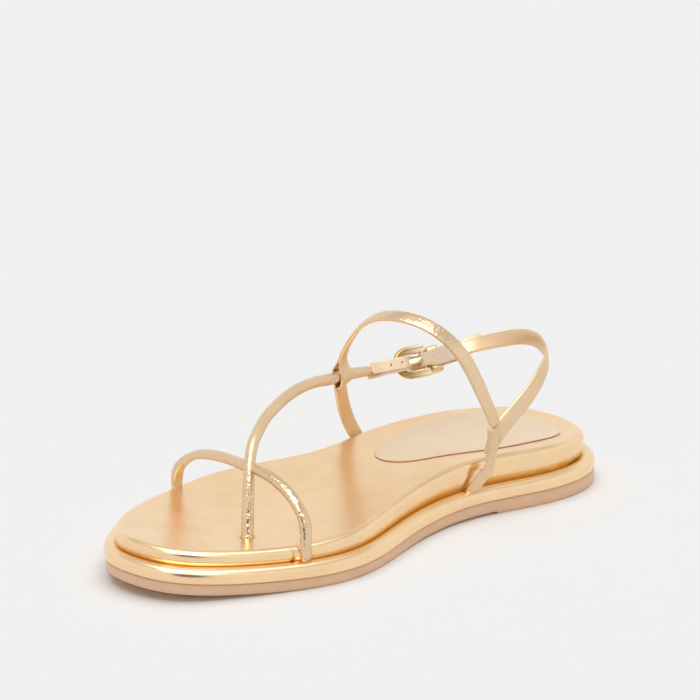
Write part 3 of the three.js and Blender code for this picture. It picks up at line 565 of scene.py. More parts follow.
# Fittings: their places are measured along the heel strap's line from the slot
billet = {
    "width": 6.6, "thickness": 1.6, "start": 17.5, "end": 76.0, "tipRise": 3.0, "step": 0.15, "around": 88,
    "power": 4.0, "spare": 0.1, "clear": 0.6,
    "enterBefore": 2, "enterOver": 14, "throughShare": 0.85, "bend": 6.0,  # how it steps in, out and back
    "swell": 0.28, "swellBefore": 2, "swellOver": 12,  # where its skins part round the long strap's end
    # inner and outer skin: side, its start and end moved by, lifted by, narrower by
    "skins": [(-1, 1.0, -0.5, 0.35, 0.9), (1, 0.0, 0.0, -0.45, 0.3)],
    "holes": [29.1, 35.2], "holeRadius": 0.72, "holeLong": 0.7, "holeEdge": 0.35, "holeDepth": 0.9,
}
buckle = {
    "start": 31.5, "arm": 4.3, "frontArm": 0.74, "inner": 3.6, "round": 8.0, "thickness": 1.8, "dome": 1.3,
    "power": 2.6, "tail": 1.5, "bar": 47.5, "barRadius": 0.9, "barReach": 0.8, "around": 40,
    "armSteps": 30, "bendSteps": 70, "highlightFrom": 4, "highlightShort": 3, "barHighlight": 0.5,
}
prong = {
    "radius": 0.5, "loopWidth": 2.7, "around": 28, "power": 2.4, "step": 0.2, "ringGap": 0.05, "tipGap": 0.3,
    "ring": [150, 110, 70, 30, -10, -50, -85],  # degrees round the bar
    "leave": (0.22, 0.95), "middle": (0.5, 0.3),  # share of the way to the front, and how far inside
    "tip": (4.3, 0.5),  # places of the shank behind the frame's front
    "wideTo": 0.68, "wideOver": 0.08, "ringHighlight": 0.3, "highlightFrom": 0.35, "highlightOver": 0.2,
}
elastic = {
    "width": 8.2, "thickness": 1.0, "end": 63.0, "around": 96, "power": 5.0, "plySteps": 70, "foldSteps": 24,
    "barGap": 0.3, "gather": 0.2, "gatherOver": 3.5,
    "ribPitch": 0.95, "rib": 0.13, "ribPower": 0.8, "ribLevel": 0.6, "ribFace": 1.5, "lean": -0.04,
}
keeper = {
    "place": 53.0, "length": 5.4, "wall": 1.3, "spare": 1.0, "clear": 0.3,
    "around": 96, "power": 7.0, "bandAround": 20, "bandPower": 4.0,
}

rise = instep["rise"]
ankleLine = np.array([across(sling["ankle"][0]), alongToY(sling["ankle"][1]), 0.0])
slingPoints = strapPoints(sling["rows"], seatTop, rise)
slingCurve, slingLength = curveThrough(slingPoints, 0.25)


def turnedAbout(run, vectors, angle):
    # vectors square to the run, turned about it
    return vectors * np.cos(angle) + np.cross(run, vectors) * np.sin(angle)


def slingFrames(places, outShift=0.0, upShift=0.0):
    # places in mm along the sling from the slot; the face leans out at the buckle and in at the inner ankle
    h = sling
    at = np.clip(np.asarray(places, float) / slingLength, 0, 1) * (len(slingCurve) - 1)
    steps = np.arange(len(slingCurve))

    def along(values):
        return np.column_stack([np.interp(at, steps, values[:, k]) for k in range(3)])

    centre, run = along(slingCurve), unit(along(unit(np.gradient(slingCurve, axis=0))))
    out = (centre - ankleLine) * [1, 1, 0]
    out = unit(out - (out * run).sum(-1, keepdims=True) * run)
    over = h["leanOver"] * slingLength
    leaving = ease(places / billet["start"]) * ease((h["buckleEnd"] * slingLength - places) / over)
    arriving = ease((places - h["ankleStart"] * slingLength) / over)
    lean = -np.radians(h["buckleLean"] * leaving + h["ankleLean"] * arriving)[:, None]
    out, side = turnedAbout(run, out, lean), turnedAbout(run, np.cross(run, out), lean)
    centre = centre + out * np.reshape(outShift, (-1, 1)) + side * np.reshape(upShift, (-1, 1))
    return {"centre": centre, "run": run, "out": out, "side": side}


def longStrapCurve():
    # from the post's foot in its hole, over the toes and through the slot into the tab
    t = longStrap
    x, along = np.array(t["rows"][0][:2]) + t["postLean"]
    foot = [across(x), alongToY(along), topAt(t["rows"][0][1], 0.5) - t["postDepth"]]
    end = slingFrames(np.array([billet["start"] + t["lap"]]))["centre"]
    over = strapPoints(t["rows"], seatTop, rise)
    return curveThrough(np.vstack([[foot], over, slingPoints[:2], end]), t["step"])[0]


longCurve = longStrapCurve()
postFoot = longCurve[np.argmin(np.abs(longCurve[:longStrap["postRings"], 2] - foreTop))]  # at the footbed's top


def strapRings(curve, out, section, strap):
    # section scaled along the strap, then creased
    size = profileAt(strap["size"], len(curve)) / 2
    rings = sweep(framesOn(curve, out), section, strap["width"] * size, strap["thickness"] * size)
    return crinkle(rings, profileAt(strap["crinkle"], len(curve)), strap["cell"], strap["seed"])


def buildStraps():
    # toe strap: level half-round cord; long strap: round cord from the toe post to the buckle's tab
    s, t = toeStrap, longStrap
    inner = seamPoints(*s["innerSeam"])
    outer = seamPoints(s["rows"][-1][1], -1, s["thickness"] / 2, s["outerInset"])[::-1]
    curve, _ = curveThrough(np.vstack([inner, strapPoints(s["rows"], foreTop, s["rise"]), outer]), s["step"])
    rounder = ease((np.linspace(0, 1, len(curve)) - s["roundFrom"]) / s["roundOver"])[:, None, None]
    section = dome(s["around"]) * (1 - rounder) + pillow(s["around"], s["roundPower"]) * rounder
    curve = curve[::-1]
    toe, toeMark = strapRings(curve, (curve - [0, 0, foreTop + s["axis"] * s["rise"]]) * [1, 0, 1], section, s)
    wide, ahead, up = t["facing"]
    x, _, z = longCurve.T
    out = np.column_stack([x * wide, np.full(len(x), ahead), z - foreTop * up])
    cord, cordMark = strapRings(longCurve, out, pillow(t["around"], 2.0), t)
    points, faces, mark = joinTubes([toe, cord], [toeMark, cordMark])
    return makePiece("foil_forefoot_straps", points, faces, "forefoot_straps", {"creased": mark})


def buildAnkleStraps():
    # instep strap with its parted slot, folded side tab and heel strap, in one shell set
    s, h = instep, sling
    end = seamPoints(s["rows"][0][1] - s["seamShift"], -1, s["thickness"] / 2, s["seat"])
    curve, _ = curveThrough(np.vstack([end, strapPoints(s["rows"], seatTop, rise)]), s["step"])
    up = curve[:, 2] - seatTop * s["axis"]
    frames = framesOn(curve, np.column_stack([curve[:, 0], -s["tilt"] * np.maximum(0, up), up]))
    slot = int(np.argmin(np.linalg.norm(curve - slingPoints[0], axis=1)))
    reach = int(round(s["slotHalf"] / s["step"]))
    flat = pillow(s["around"], s["power"])
    tubes, marks = [], []

    def add(frames, section, half, deep, amount, cell, seed, endRound=0.6):
        rings = sweep(frames, section, half, deep, endRound)
        rings, mark = crinkle(rings, np.broadcast_to(amount, len(frames["centre"])), cell, seed)
        tubes.append(rings)
        marks.append(mark)

    def partOf(part):
        return {label: values[part] for label, values in frames.items()}

    creases, size = profileAt(s["crinkle"], len(curve)), profileAt(s["size"], len(curve))
    for part in (slice(0, slot - reach + 4), slice(slot + reach - 3, len(curve))):
        half = s["width"] / 2 * size[part]
        add(partOf(part), flat, half, s["thickness"] / 2, creases[part], s["cell"], s["seed"])
    ply = partOf(slice(slot - reach, slot + reach + 1))
    place = np.linspace(-1, 1, 2 * reach + 1)
    for sign, wide, room in s["plies"]:
        gap = room * s["slotOpening"] * np.cos(place * math.pi / 2) ** 2
        centre = ply["centre"] + ply["out"] * (sign * (gap / 2 + s["thickness"] / 4))[:, None]
        add(framesOn(centre, ply["out"]), flat, s["width"] / 2 * (1 + wide * bump(place)),
            s["thickness"] / 4 + s["plySpare"], 0.0, s["cell"], s["seed"], 0.3)

    for k, (foot, top, thick, amount, rows) in enumerate(sideTab["plies"]):
        curve, _ = curveThrough(strapPoints(rows, seatTop, rise), sideTab["step"])
        section = pillow(sideTab["around"], sideTab["power"])
        add(framesOn(curve, np.broadcast_to(sideTab["facing"], curve.shape)), section,
            np.linspace(foot, top, len(curve)) / 2, thick / 2, amount, sideTab["cell"], sideTab["seed"] + k, 0.5)

    places = np.arange(h["start"], slingLength, h["step"])
    share = (places - h["start"]) / (slingLength - h["start"])
    (first, firstOver), (final, finalOver) = h["narrow"]
    wide = h["width"] * (1 - first * ease(1 - share / firstOver) - final * ease(1 - (1 - share) / finalOver))
    section = pillow(h["around"], h["power"])
    add(slingFrames(places), section, wide / 2, h["thickness"] / 2, 0.0, s["cell"], h["seed"])
    points, faces, mark = joinTubes(tubes, marks)
    print("ankle straps:", len(tubes), "runs")
    return makePiece("foil_ankle_straps", points, faces, "ankle_straps", {"creased": mark})


def billetOut():
    # middle of the billet where it lies outside the bar and the elastic
    b = billet
    return buckle["barRadius"] + b["clear"] + elastic["thickness"] + b["thickness"] / 2 + b["spare"]


def billetShift(place):
    # inside the frame's front, through the frame, then outside the elastic and the strap
    b, k = billet, buckle
    inner = -(k["thickness"] / 2 + b["clear"] + b["thickness"] / 2)
    rest = sling["thickness"] / 2 + b["thickness"] / 2 + b["clear"]
    front = k["start"] + k["arm"]
    enter = inner * ease((place - b["start"] + b["enterBefore"]) / b["enterOver"])
    through = (billetOut() - inner) * ease((place - front) / (b["throughShare"] * (k["bar"] - front)))
    return enter + through + (rest - billetOut()) * ease((place - elastic["end"]) / b["bend"])


def buildBillet():
    # tab of two skins: they part round the end of the round strap, and the outer one sits a little lower
    b = billet
    keeperEnd = keeper["place"] + keeper["length"] / 2 + keeper["wall"]
    section = pillow(b["around"], b["power"])
    tubes, marks = [], []
    for side, late, longer, raised, slim in b["skins"]:
        places = np.arange(b["start"] + late, b["end"] + longer, b["step"])
        lift = b["tipRise"] * ease((places - keeperEnd) / (b["end"] - keeperEnd)) + raised
        parted = ease(1 - (places - b["start"] + b["swellBefore"]) / b["swellOver"])
        swell = longStrap["thickness"] * b["swell"] * parted
        frames = slingFrames(places, billetShift(places) + side * (b["thickness"] / 4 + swell), lift)
        frames = framesOn(frames["centre"], frames["out"])
        half = (b["width"] - slim) / 2
        rings = sweep(frames, section, half, b["thickness"] / 4, 0.25)
        # each hole: a shallow pit in the face, painted almost black as painted shade
        pitAndShade = np.zeros(rings.shape[:2])
        for hole in b["holes"]:
            away = np.hypot(carried(places - hole)[:, None] / b["holeLong"], section[None, :, 0] * half)
            pitAndShade = np.maximum(pitAndShade, ease((b["holeRadius"] - away) / b["holeEdge"]))
        out = carried(frames["out"])[:, None, :]
        high = ((rings - rings.mean(axis=1, keepdims=True)) * out).sum(-1)
        tubes.append(rings - out * (high * b["holeDepth"] * pitAndShade)[..., None])
        marks.append(pitAndShade)
    points, faces, mark = joinTubes(tubes, marks)
    return makePiece("leather_billet", points, faces, "buckle_billet", {"pitAndShade": mark})


def buildElastic():
    # ribbed strip: inside ply, round the bar, outside ply; ribs run across with a lean
    e, k = elastic, buckle
    fold = k["barRadius"] + e["barGap"] + e["thickness"] / 2
    inside = np.linspace(e["end"], k["bar"], e["plySteps"], endpoint=False)
    angle = np.linspace(0, np.pi, e["foldSteps"])
    outside = np.linspace(k["bar"], e["end"], e["plySteps"] + 1)[1:]
    places = np.concatenate([inside, k["bar"] - fold * np.sin(angle), outside])
    turn = np.concatenate([0 * inside, angle, 0 * outside + np.pi])  # how far each ring is round the fold
    frames = slingFrames(places, -fold * np.cos(turn))
    lean = (turn + np.pi)[:, None]
    frames = framesOn(frames["centre"], frames["out"] * np.cos(lean) + frames["run"] * np.sin(lean))
    section = pillow(e["around"], e["power"])
    gather = 1 - e["gather"] * ease(1 - (places - k["bar"] - k["tail"]) / e["gatherOver"])
    rings = sweep(frames, section, e["width"] / 2 * gather, e["thickness"] / 2, 0.2)
    travel = np.concatenate([[0], np.cumsum(np.linalg.norm(np.diff(frames["centre"], axis=0), axis=1))])
    phase = (carried(travel)[:, None] + e["lean"] * section[None, :, 0] * e["width"] / 2) / e["ribPitch"]
    wave = np.abs(np.sin(np.pi * phase))
    rib = e["rib"] * (wave ** e["ribPower"] - e["ribLevel"])
    rib *= np.clip(section[None, :, 1] * e["ribFace"], -1, 1)  # both faces are ribbed, the edges less
    rings = rings + carried(frames["out"])[:, None, :] * rib[..., None]
    # painted shade and highlight: the colour follows the wave, darker in the rib grooves and paler on the crests
    points, faces, mark = joinTubes([rings], [wave])
    return makePiece("ribbed_elastic", points, faces, "elastic_gore", {"rib": mark})


def buildBuckle():
    # rounded rod bent to a horseshoe, with square ends, and the bar across it; flat from its front to the bar
    k = buckle
    ends = slingFrames(np.array([k["start"], k["bar"]]))
    run = unit(ends["centre"][1] - ends["centre"][0])
    side = unit(np.cross(ends["out"][0], run))
    mid = k["inner"] + k["arm"] / 2
    length = k["bar"] + k["tail"] - k["start"]
    straight = np.linspace(length, k["round"], k["armSteps"], endpoint=False)
    angle = np.linspace(0, np.pi, k["bendSteps"])
    x = np.concatenate([straight, k["round"] - (k["round"] - k["arm"] / 2) * np.sin(angle), straight[::-1]])
    y = np.concatenate([0 * straight - mid, -mid * np.cos(angle), 0 * straight + mid])
    path = ends["centre"][0] + x[:, None] * run + y[:, None] * side
    section = pillow(k["around"], k["power"])
    section[:, 1] *= np.where(section[:, 1] < 0, k["dome"], 1)  # swollen on the inside
    wide = k["arm"] / 2 * (k["frontArm"] + (1 - k["frontArm"]) * ease(x / length))
    frames = framesOn(path, np.broadcast_to(np.cross(run, side), path.shape))
    horseshoe = sweep(frames, section, wide, k["thickness"] / 2, 0.25)
    paintedHighlight = carried(ease((x - k["highlightFrom"]) / (length - k["highlightShort"])))[:, None]  # painted highlight: paler towards its ends
    reach = np.linspace(-1, 1, 12) * (k["inner"] + k["barReach"])
    path = ends["centre"][1] + reach[:, None] * ends["side"][1]
    frames = framesOn(path, np.broadcast_to(ends["out"][1], path.shape))
    rod = sweep(frames, pillow(k["around"], 2.0), k["barRadius"], k["barRadius"], 0.2)
    points, faces, mark = joinTubes([horseshoe, rod], [paintedHighlight, k["barHighlight"]])
    return makePiece("brass_frame", points, faces, "buckle_frame", {"paintedHighlight": mark})


def buildProng():
    # ring round the bar, then a shank through the billet to the frame's front
    k, p = buckle, prong
    reach = k["barRadius"] + p["ringGap"] + p["radius"]
    tip = k["thickness"] / 2 + p["tipGap"] + p["radius"]
    turn = np.radians(p["ring"])
    ahead = k["start"] - k["bar"]
    place = [*(k["bar"] + reach * np.cos(turn)), k["bar"] + p["leave"][0] * ahead,
             k["bar"] + p["middle"][0] * ahead, *(k["start"] + np.array(p["tip"]))]
    shift = [*(reach * np.sin(turn)), -reach * p["leave"][1], -p["middle"][1], tip, tip]
    path, _ = curveThrough(slingFrames(np.array(place), shift)["centre"], p["step"])
    side = slingFrames(np.array([k["bar"]]))["side"][0]
    frames = framesOn(path, np.cross(np.gradient(path, axis=0), side))
    along = np.linspace(0, 1, len(path))
    wide = p["radius"] * (1 + (p["loopWidth"] - 1) * ease((p["wideTo"] - along) / p["wideOver"]))
    shank = sweep(frames, pillow(p["around"], p["power"]), wide, p["radius"], 0.4)
    # painted highlight: the shank tinted pale, the ring round the bar less so
    paintedHighlight = p["ringHighlight"] + (1 - p["ringHighlight"]) * ease((along - p["highlightFrom"]) / p["highlightOver"])
    points, faces, mark = joinTubes([shank], [carried(paintedHighlight)[:, None]])
    return makePiece("brass_prong", points, faces, "buckle_prong", {"paintedHighlight": mark})


def buildKeeper():
    # narrow band bent round the elastic's outer ply and the billet: a rounded box path with a flat section
    q = keeper
    at = slingFrames(np.array([q["place"]]))
    centre, run, out = at["centre"][0], at["run"][0], at["out"][0]
    high = billetOut() + billet["thickness"] / 2 + q["clear"] + q["wall"] / 2  # its outer wall's middle
    corner = pillow(q["around"], q["power"])
    x = (1 + corner[:, 1]) * high / 2
    y = corner[:, 0] * (elastic["width"] / 2 + q["spare"] + q["wall"] / 2)
    path = centre + x[:, None] * out + y[:, None] * np.cross(run, out)
    away = unit(np.cross(run, np.roll(path, -1, axis=0) - np.roll(path, 1, axis=0)))
    section = pillow(q["bandAround"], q["bandPower"])
    rings = (path[:, None, :] + (section[None, :, 0] * q["length"] / 2)[..., None] * run
             + (section[None, :, 1] * q["wall"] / 2)[..., None] * away[:, None, :])
    index = np.arange(rings[..., 0].size).reshape(rings.shape[:2])
    beside = np.roll(index, -1, axis=1)
    faces = np.stack([index, beside, np.roll(beside, -1, axis=0), np.roll(index, -1, axis=0)], -1)
    return makePiece("leather_keeper", rings.reshape(-1, 3), faces.reshape(-1, 4), "keeper_loop")


def buildFootbed():
    # side swells out over the crease, rounds over and falls into the dish; pressed in where straps enter
    f, post, gather, lift = footbed, footbed["post"], footbed["puckers"], footbed["outerLift"]
    base = f["inset"] + f["heelIn"] * heelShare(soleTurns)

    def low(along, _=0):
        return footbedBottom(along) - f["sink"]

    rings = [soleRing(base + f["side"][0][0], into, low) for into in (1, 0.5, 0.2, 0)]
    profile = splineRows(f["side"], f["sideSteps"])[1:]
    for inset, share in profile:
        rings.append(soleRing(base + inset, 0, lambda along, _: (
            (1 - share) * low(along) + share * (footbedEdge(along) - f["round"]))))
    for angle in np.linspace(0, math.pi / 2, f["roundSteps"] + 2)[1:-1]:
        rings.append(soleRing(base + f["round"] * (1 - math.cos(angle)), 0,
                              lambda along, _: footbedEdge(along) - f["round"] * (1 - math.sin(angle))))
    firstTop = len(rings)
    for into in np.linspace(0, 1, f["topSteps"]) ** f["topSpacing"]:
        rings.append(soleRing(base + f["round"], into, footbedTop))
    points, faces, ring = soleSurface(rings)
    along = alongOf(points[:, 1])
    # painted shade: the side is tinted darker down towards the crease over the roll
    shade = ease(1 - (profile[:, 1] - f["creaseShadeFrom"]) / f["creaseShadeOver"])
    fold = np.concatenate([[1] * 4, shade, np.zeros(len(rings) - 4 - len(shade))])[ring]
    taut = ease((firstTop - 2 - ring) / 4)  # 1 on the side and its rounded edge: the foil is smooth there

    # the outer side stands a little higher at the waist
    high = np.clip((points[:, 2] - footbedBottom(along)) / lift["over"], 0, 1)
    outer = ease((-lift["from"] - points[:, 0]) / lift["width"])
    points[:, 2] += lift["height"] * high * bump((along - lift["place"]) / lift["reach"]) * outer

    # toe post's hole: steep pit round the post in a shallow dimple, with small puckers beside it
    far = np.linalg.norm(points[:, :2] - postFoot[:2], axis=1)
    top = points[:, 2] > footbedBottom(along) + 1
    dimple = post["dimple"] * np.exp(-(far / post["dimpleWidth"]) ** 2)
    points[:, 2] -= top * (post["drop"] * ease(post["hole"] - far) + dimple)
    # painted shade round the post's foot: darkens the foil there and dulls the post's reflection in it
    fold = np.maximum(fold, top * post["shade"] * ease((post["shadeReach"] - far) / post["shadeOver"]))
    ridge = post["ridge"] * np.exp(-((far - post["ridgeAt"]) / post["ridgeWidth"]) ** 2)
    points[:, 2] += top * ridge * np.maximum(0, softNoise(points * [1, 1, 0], post["ridgeCell"], 9))

    # puckers where the wrap is gathered into the seam round the heel, and dents at the strap ends
    side = soleSide(points)
    height = points[:, 2] - footbedBottom(along)
    gathered = np.exp(-((height - gather["height"]) / gather["spread"]) ** 2)
    gathered *= gather["depth"] * ease((gather["end"] - along) / gather["over"]) * (0.4 + 0.6 * fold)
    points[:, :2] += side * (gathered * softNoise(points * [1, 1, 0.3], gather["cell"], 5))[:, None]
    for x, y, width, depth in f["dents"]:
        near = depth * np.exp(-((points[:, 1] - y) / width) ** 2)
        near *= ease((f["dentReach"] - np.abs(points[:, 0] - x)) / f["dentOver"])
        near *= ease((footbedEdge(along) + 0.5 - points[:, 2]) / f["dentOver"])
        points[:, :2] -= side * near[:, None]
    return makePiece("wrapped_footbed", points, faces, "footbed", {"taut": taut, "fold": fold})


pad = {
    "length": 92.0, "width": 51.5, "end": 18.5, "thickness": 0.45, "middle": -2.0, "turns": 320, "rings": 39,
    "medial": [0.12, 0.8, 0.87, 0.74, 0.45, 0.155, -0.29],
    "lateral": [0.12, -0.6, -1.0, -1.04, -0.87, -0.64, -0.29],
    # inset and lift of its edge, from the underside up
    "edge": [(0.4, -0.1), (0.0, -0.1), (0.0, 0.2), (0.06, 0.38), (0.22, 0.45)],
}


def seatHeight(flat):
    # height of the footbed's top at points in plan: the share from edge to spine is halved down until its
    # ring meets the point
    x, y = flat[..., 0], flat[..., 1]
    half = last["length"] / 2

    def ringAt(side, turn, into):
        inset = footbed["inset"] + footbed["round"] + footbed["heelIn"] * heelShare(turn)
        place = soleInset(side * turn, inset) * (1 - into)[..., None] + soleSpine(turn) * into[..., None]
        return place[..., 0], place[..., 1]

    middle = soleSpine(np.arccos(np.clip(y / (last["spineReach"] * half), -1, 1)))[..., 0]
    side = np.where(x > middle, 1.0, -1.0)
    low, high = np.zeros(x.shape), np.ones(x.shape)
    for _ in range(22):
        into = (low + high) / 2
        reach = half * (1 - (1 - last["spineReach"]) * into)
        turn = np.arccos(np.clip(y / reach, -1, 1))
        for _ in range(3):
            gone = ringAt(side, turn, into)[1] - y
            turn = np.clip(turn + gone / np.maximum(reach * np.sin(turn), 4), 0, np.pi)
        outside = side * (ringAt(side, turn, into)[0] - x) > 0
        low, high = np.where(outside, into, low), np.where(outside, high, into)
    return footbedTop(alongOf(y), (low + high) / 2)


def buildPad():
    # thin sheet on the seat: rings from its middle out along the underside, over the edge and back in on top
    p = pad
    back = last["length"] / 2 - p["end"]
    insetOf, _ = outlineOf(closedSpline(p["medial"], p["lateral"]), p["width"] / 2, p["length"], back)
    turns = 2 * np.pi * np.arange(p["turns"]) / p["turns"]
    centre = np.array([p["middle"], back - p["length"] / 2])
    edge = [insetOf(turns, inset) for inset, _ in p["edge"]]
    shares = np.linspace(1, 0.02, p["rings"] + 1)[1:]
    under = [centre + (edge[0] - centre) * share for share in shares[::-1]]
    flat = np.stack(under + edge + [centre + (edge[-1] - centre) * share for share in shares])
    lift = [p["edge"][0][1]] * len(under) + [up for _, up in p["edge"]] + [p["thickness"]] * len(shares)
    rings = np.concatenate([flat, (seatHeight(flat) + np.array(lift)[:, None])[..., None]], -1)
    cut = (np.arange(len(flat)) < len(under) + 4) * 1.0  # the underside and the cut edge
    points, faces, mark = joinTubes([rings], [cut[:, None]])
    return makePiece("heel_lining_pad", points, faces, "heel_pad", {"edge": mark})


pieces = {
    "outsole": buildOutsole(), "roll": buildRoll(), "footbed": buildFootbed(), "pad": buildPad(),
    "straps": buildStraps(), "ankle": buildAnkleStraps(), "billet": buildBillet(), "elastic": buildElastic(),
    "buckle": buildBuckle(), "prong": buildProng(), "keeper": buildKeeper(),
}
for label, piece in pieces.items():
    print("built", label, len(piece.data.vertices), "points")


def wire(tree, node, inputs):
    # each input set to its number or colour, or linked to another node's output
    for key, value in inputs.items():
        if isinstance(value, bpy.types.NodeSocket):
            tree.links.new(value, node.inputs[key])
        else:
            node.inputs[key].default_value = value
    return node


# Looks: patches of two tones (noise scale and detail, the ramp's stops and colours), a tint where a mark is 1,
# a gloss that may follow a mark, grain (noise scale, detail and roughness, bump strength and distance in
# metres) and crush (cell scale, bump strength and distance).
foilTones = ((0.945, 0.67, 0.39), (0.98, 0.715, 0.43))
# painted shade: a darker orange tint on the foil where the fold mark is high, in the crease between roll and
# footbed and round the toe post
creaseShadeTint = ("fold", (0.83, 0.59, 0.285))
looks = {
    "tan rubber": {
        "patches": (120, 4), "stops": (0.3, 0.7), "tones": ((0.89, 0.575, 0.355), (0.94, 0.62, 0.39)),
        "metal": 0.0, "rough": 0.55, "grain": (1800, 3, 0.55, 0.3, 0.00005),
    },
    "smooth gold foil": {
        "patches": (60, 3), "stops": (0.35, 0.65), "tones": foilTones, "tint": creaseShadeTint,
        "metal": 0.96, "rough": 0.2, "grain": (160, 2, 0.5, 0.1, 0.00005),
    },
    "satin gold foil": {
        "patches": (60, 3), "stops": (0.35, 0.65), "tones": foilTones, "tint": creaseShadeTint,
        "metal": 0.96, "rough": 0.27, "marked": ("taut", 0.2), "grain": (160, 2, 0.5, 0.1, 0.00005),
    },
    "creased gold foil": {
        "patches": (60, 3), "stops": (0.35, 0.65), "tones": ((0.78, 0.57, 0.35), (0.83, 0.62, 0.40)),
        "metal": 0.95, "rough": 0.36, "marked": ("creased", 0.15), "grain": (300, 2, 0.5, 0.15, 0.0001),
        "crush": (700, 0.5, 0.0003),
    },
    "keeper foil": {
        "patches": (60, 3), "stops": (0.35, 0.65), "tones": ((0.80, 0.55, 0.27), (0.86, 0.62, 0.33)),
        "metal": 0.95, "rough": 0.2, "grain": (300, 2, 0.5, 0.1, 0.0001),
    },
    "satin tab leather": {
        "patches": (200, 3), "stops": (0.35, 0.65), "tones": ((0.86, 0.66, 0.45), (0.91, 0.72, 0.51)),
        # painted shade: the shallow hole pits tinted almost black
        "tint": ("pitAndShade", (0.10, 0.05, 0.03)), "metal": 0.5, "rough": 0.45,
        "grain": (1500, 3, 0.55, 0.2, 0.00004),
    },
    "pale lining leather": {
        "patches": (70, 3), "stops": (0.3, 0.7), "tones": ((0.84, 0.66, 0.46), (0.87, 0.70, 0.50)),
        "tint": ("edge", (0.42, 0.22, 0.12)), "metal": 0.45, "rough": 0.45,
        "grain": (2200, 4, 0.55, 0.25, 0.00005),
    },
    "ribbed elastic": {
        # painted shade and highlight: tone set by the rib wave, dark in the grooves, pale on the crests
        "tonesBy": "rib", "stops": (0.1, 0.8), "tones": ((0.56, 0.39, 0.26), (0.91, 0.71, 0.53)),
        "metal": 0.0, "rough": 0.6, "grain": (3000, 3, 0.55, 0.5, 0.0001),
    },
    "polished brass": {
        "patches": (300, 3), "stops": (0.3, 0.7), "tones": ((0.42, 0.26, 0.085), (0.50, 0.32, 0.11)),
        # painted highlight: pale tint on the frame's ends, the bar and the prong
        "tint": ("paintedHighlight", (1.0, 0.84, 0.56)), "metal": 1.0, "rough": 0.14,
        "grain": (900, 3, 0.55, 0.15, 0.00005),
    },
}


def newMaterial(name):
    # material with its node tree and shader
    material = bpy.data.materials.new(name)
    material.use_nodes = True
    return material, material.node_tree, material.node_tree.nodes["Principled BSDF"]


def makeFinish(name):
    # colour from patches and tint, roughness plain or between two values by a mark, bumps one on the other
    look = looks[name]
    material, tree, shader = newMaterial(name)
    place = tree.nodes.new("ShaderNodeTexCoord").outputs["Object"]

    def addNoise(scale, detail, rough):
        values = {"Scale": scale, "Detail": detail, "Roughness": rough, "Vector": place}
        return wire(tree, tree.nodes.new("ShaderNodeTexNoise"), values).outputs["Fac"]

    def addMark(label):
        node = tree.nodes.new("ShaderNodeAttribute")
        node.attribute_name = label
        return node.outputs["Fac"]

    ramp = tree.nodes.new("ShaderNodeValToRGB")
    for element, stop, tone in zip(ramp.color_ramp.elements, look["stops"], look["tones"]):
        element.position, element.color = stop, (*tone, 1)
    source = addMark(look["tonesBy"]) if "tonesBy" in look else addNoise(*look["patches"], 0.55)
    colour = wire(tree, ramp, {"Fac": source}).outputs["Color"]
    if "tint" in look:
        label, tint = look["tint"]
        blend = tree.nodes.new("ShaderNodeMix")
        blend.data_type = "RGBA"
        colour = wire(tree, blend, {"Factor": addMark(label), "A": colour, "B": (*tint, 1)}).outputs["Result"]
    wire(tree, shader, {"Base Color": colour, "Metallic": look["metal"], "Roughness": look["rough"]})
    if "marked" in look:
        label, rough = look["marked"]
        mark = addMark(label)
        values = {"Value": mark, "To Min": look["rough"], "To Max": rough}
        level = wire(tree, tree.nodes.new("ShaderNodeMapRange"), values).outputs["Result"]
        wire(tree, shader, {"Roughness": level})

    *noise, strength, distance = look["grain"]
    bump = {"Strength": strength, "Distance": distance, "Height": addNoise(*noise)}
    normal = wire(tree, tree.nodes.new("ShaderNodeBump"), bump).outputs["Normal"]
    if "crush" in look:
        scale, strength, distance = look["crush"]
        cells = wire(tree, tree.nodes.new("ShaderNodeTexVoronoi"), {"Scale": scale, "Vector": place})
        folds = tree.nodes.new("ShaderNodeMath")
        folds.operation = "MULTIPLY"
        folds = wire(tree, folds, {0: cells.outputs["Distance"], 1: mark}).outputs["Value"]
        bump = {"Strength": strength, "Distance": distance, "Height": folds, "Normal": normal}
        normal = wire(tree, tree.nodes.new("ShaderNodeBump"), bump).outputs["Normal"]
    wire(tree, shader, {"Normal": normal})
    return material


finishes = {name: makeFinish(name) for name in looks}
finishOf = {
    "outsole": "tan rubber", "roll": "smooth gold foil", "footbed": "satin gold foil",
    "pad": "pale lining leather", "straps": "creased gold foil", "ankle": "creased gold foil",
    "billet": "satin tab leather", "elastic": "ribbed elastic", "buckle": "polished brass",
    "prong": "polished brass", "keeper": "keeper foil",
}
for label, name in finishOf.items():
    pieces[label].data.materials.append(finishes[name])
print("finishes set")

# Studio: brightness of each part of the world, its angles in degrees, and how soft the edges are
studio = {
    "floor": 0.9, "floorHalf": 6.0, "floorRough": 0.9,
    "horizon": 0.91, "gap": 0.68, "gapFrom": (0.60, 0.70), "gapTo": (0.78, 0.88), "ceiling": 0.85,
    "panel": 2.2, "panelAzimuth": 50.0, "panelElevation": 66.0, "panelHalf": (23.0, 28.0),
    "panelFront": (0.2, 0.3), "panelSoft": 0.05,
    "shade": 0.85, "shadeAzimuth": 54.0, "shadeElevation": 13.0, "shadeHalf": 17.0, "shadeSoft": 0.02,
    "top": 0.56, "topAngle": 70.0, "fill": 0.41, "fillAngle": 165.0,
}
view = {
    "azimuth": 50.361, "elevation": 17.26, "place": (0.8663, -0.7214, 0.4297), "lens": 138.713,
    "sensor": 36.0, "far": 50,
}


def direction(azimuth, elevation):
    # azimuth from -Y towards +X, both in degrees
    a, e = math.radians(azimuth), math.radians(elevation)
    return Vector((math.sin(a) * math.cos(e), -math.cos(a) * math.cos(e), math.sin(e)))


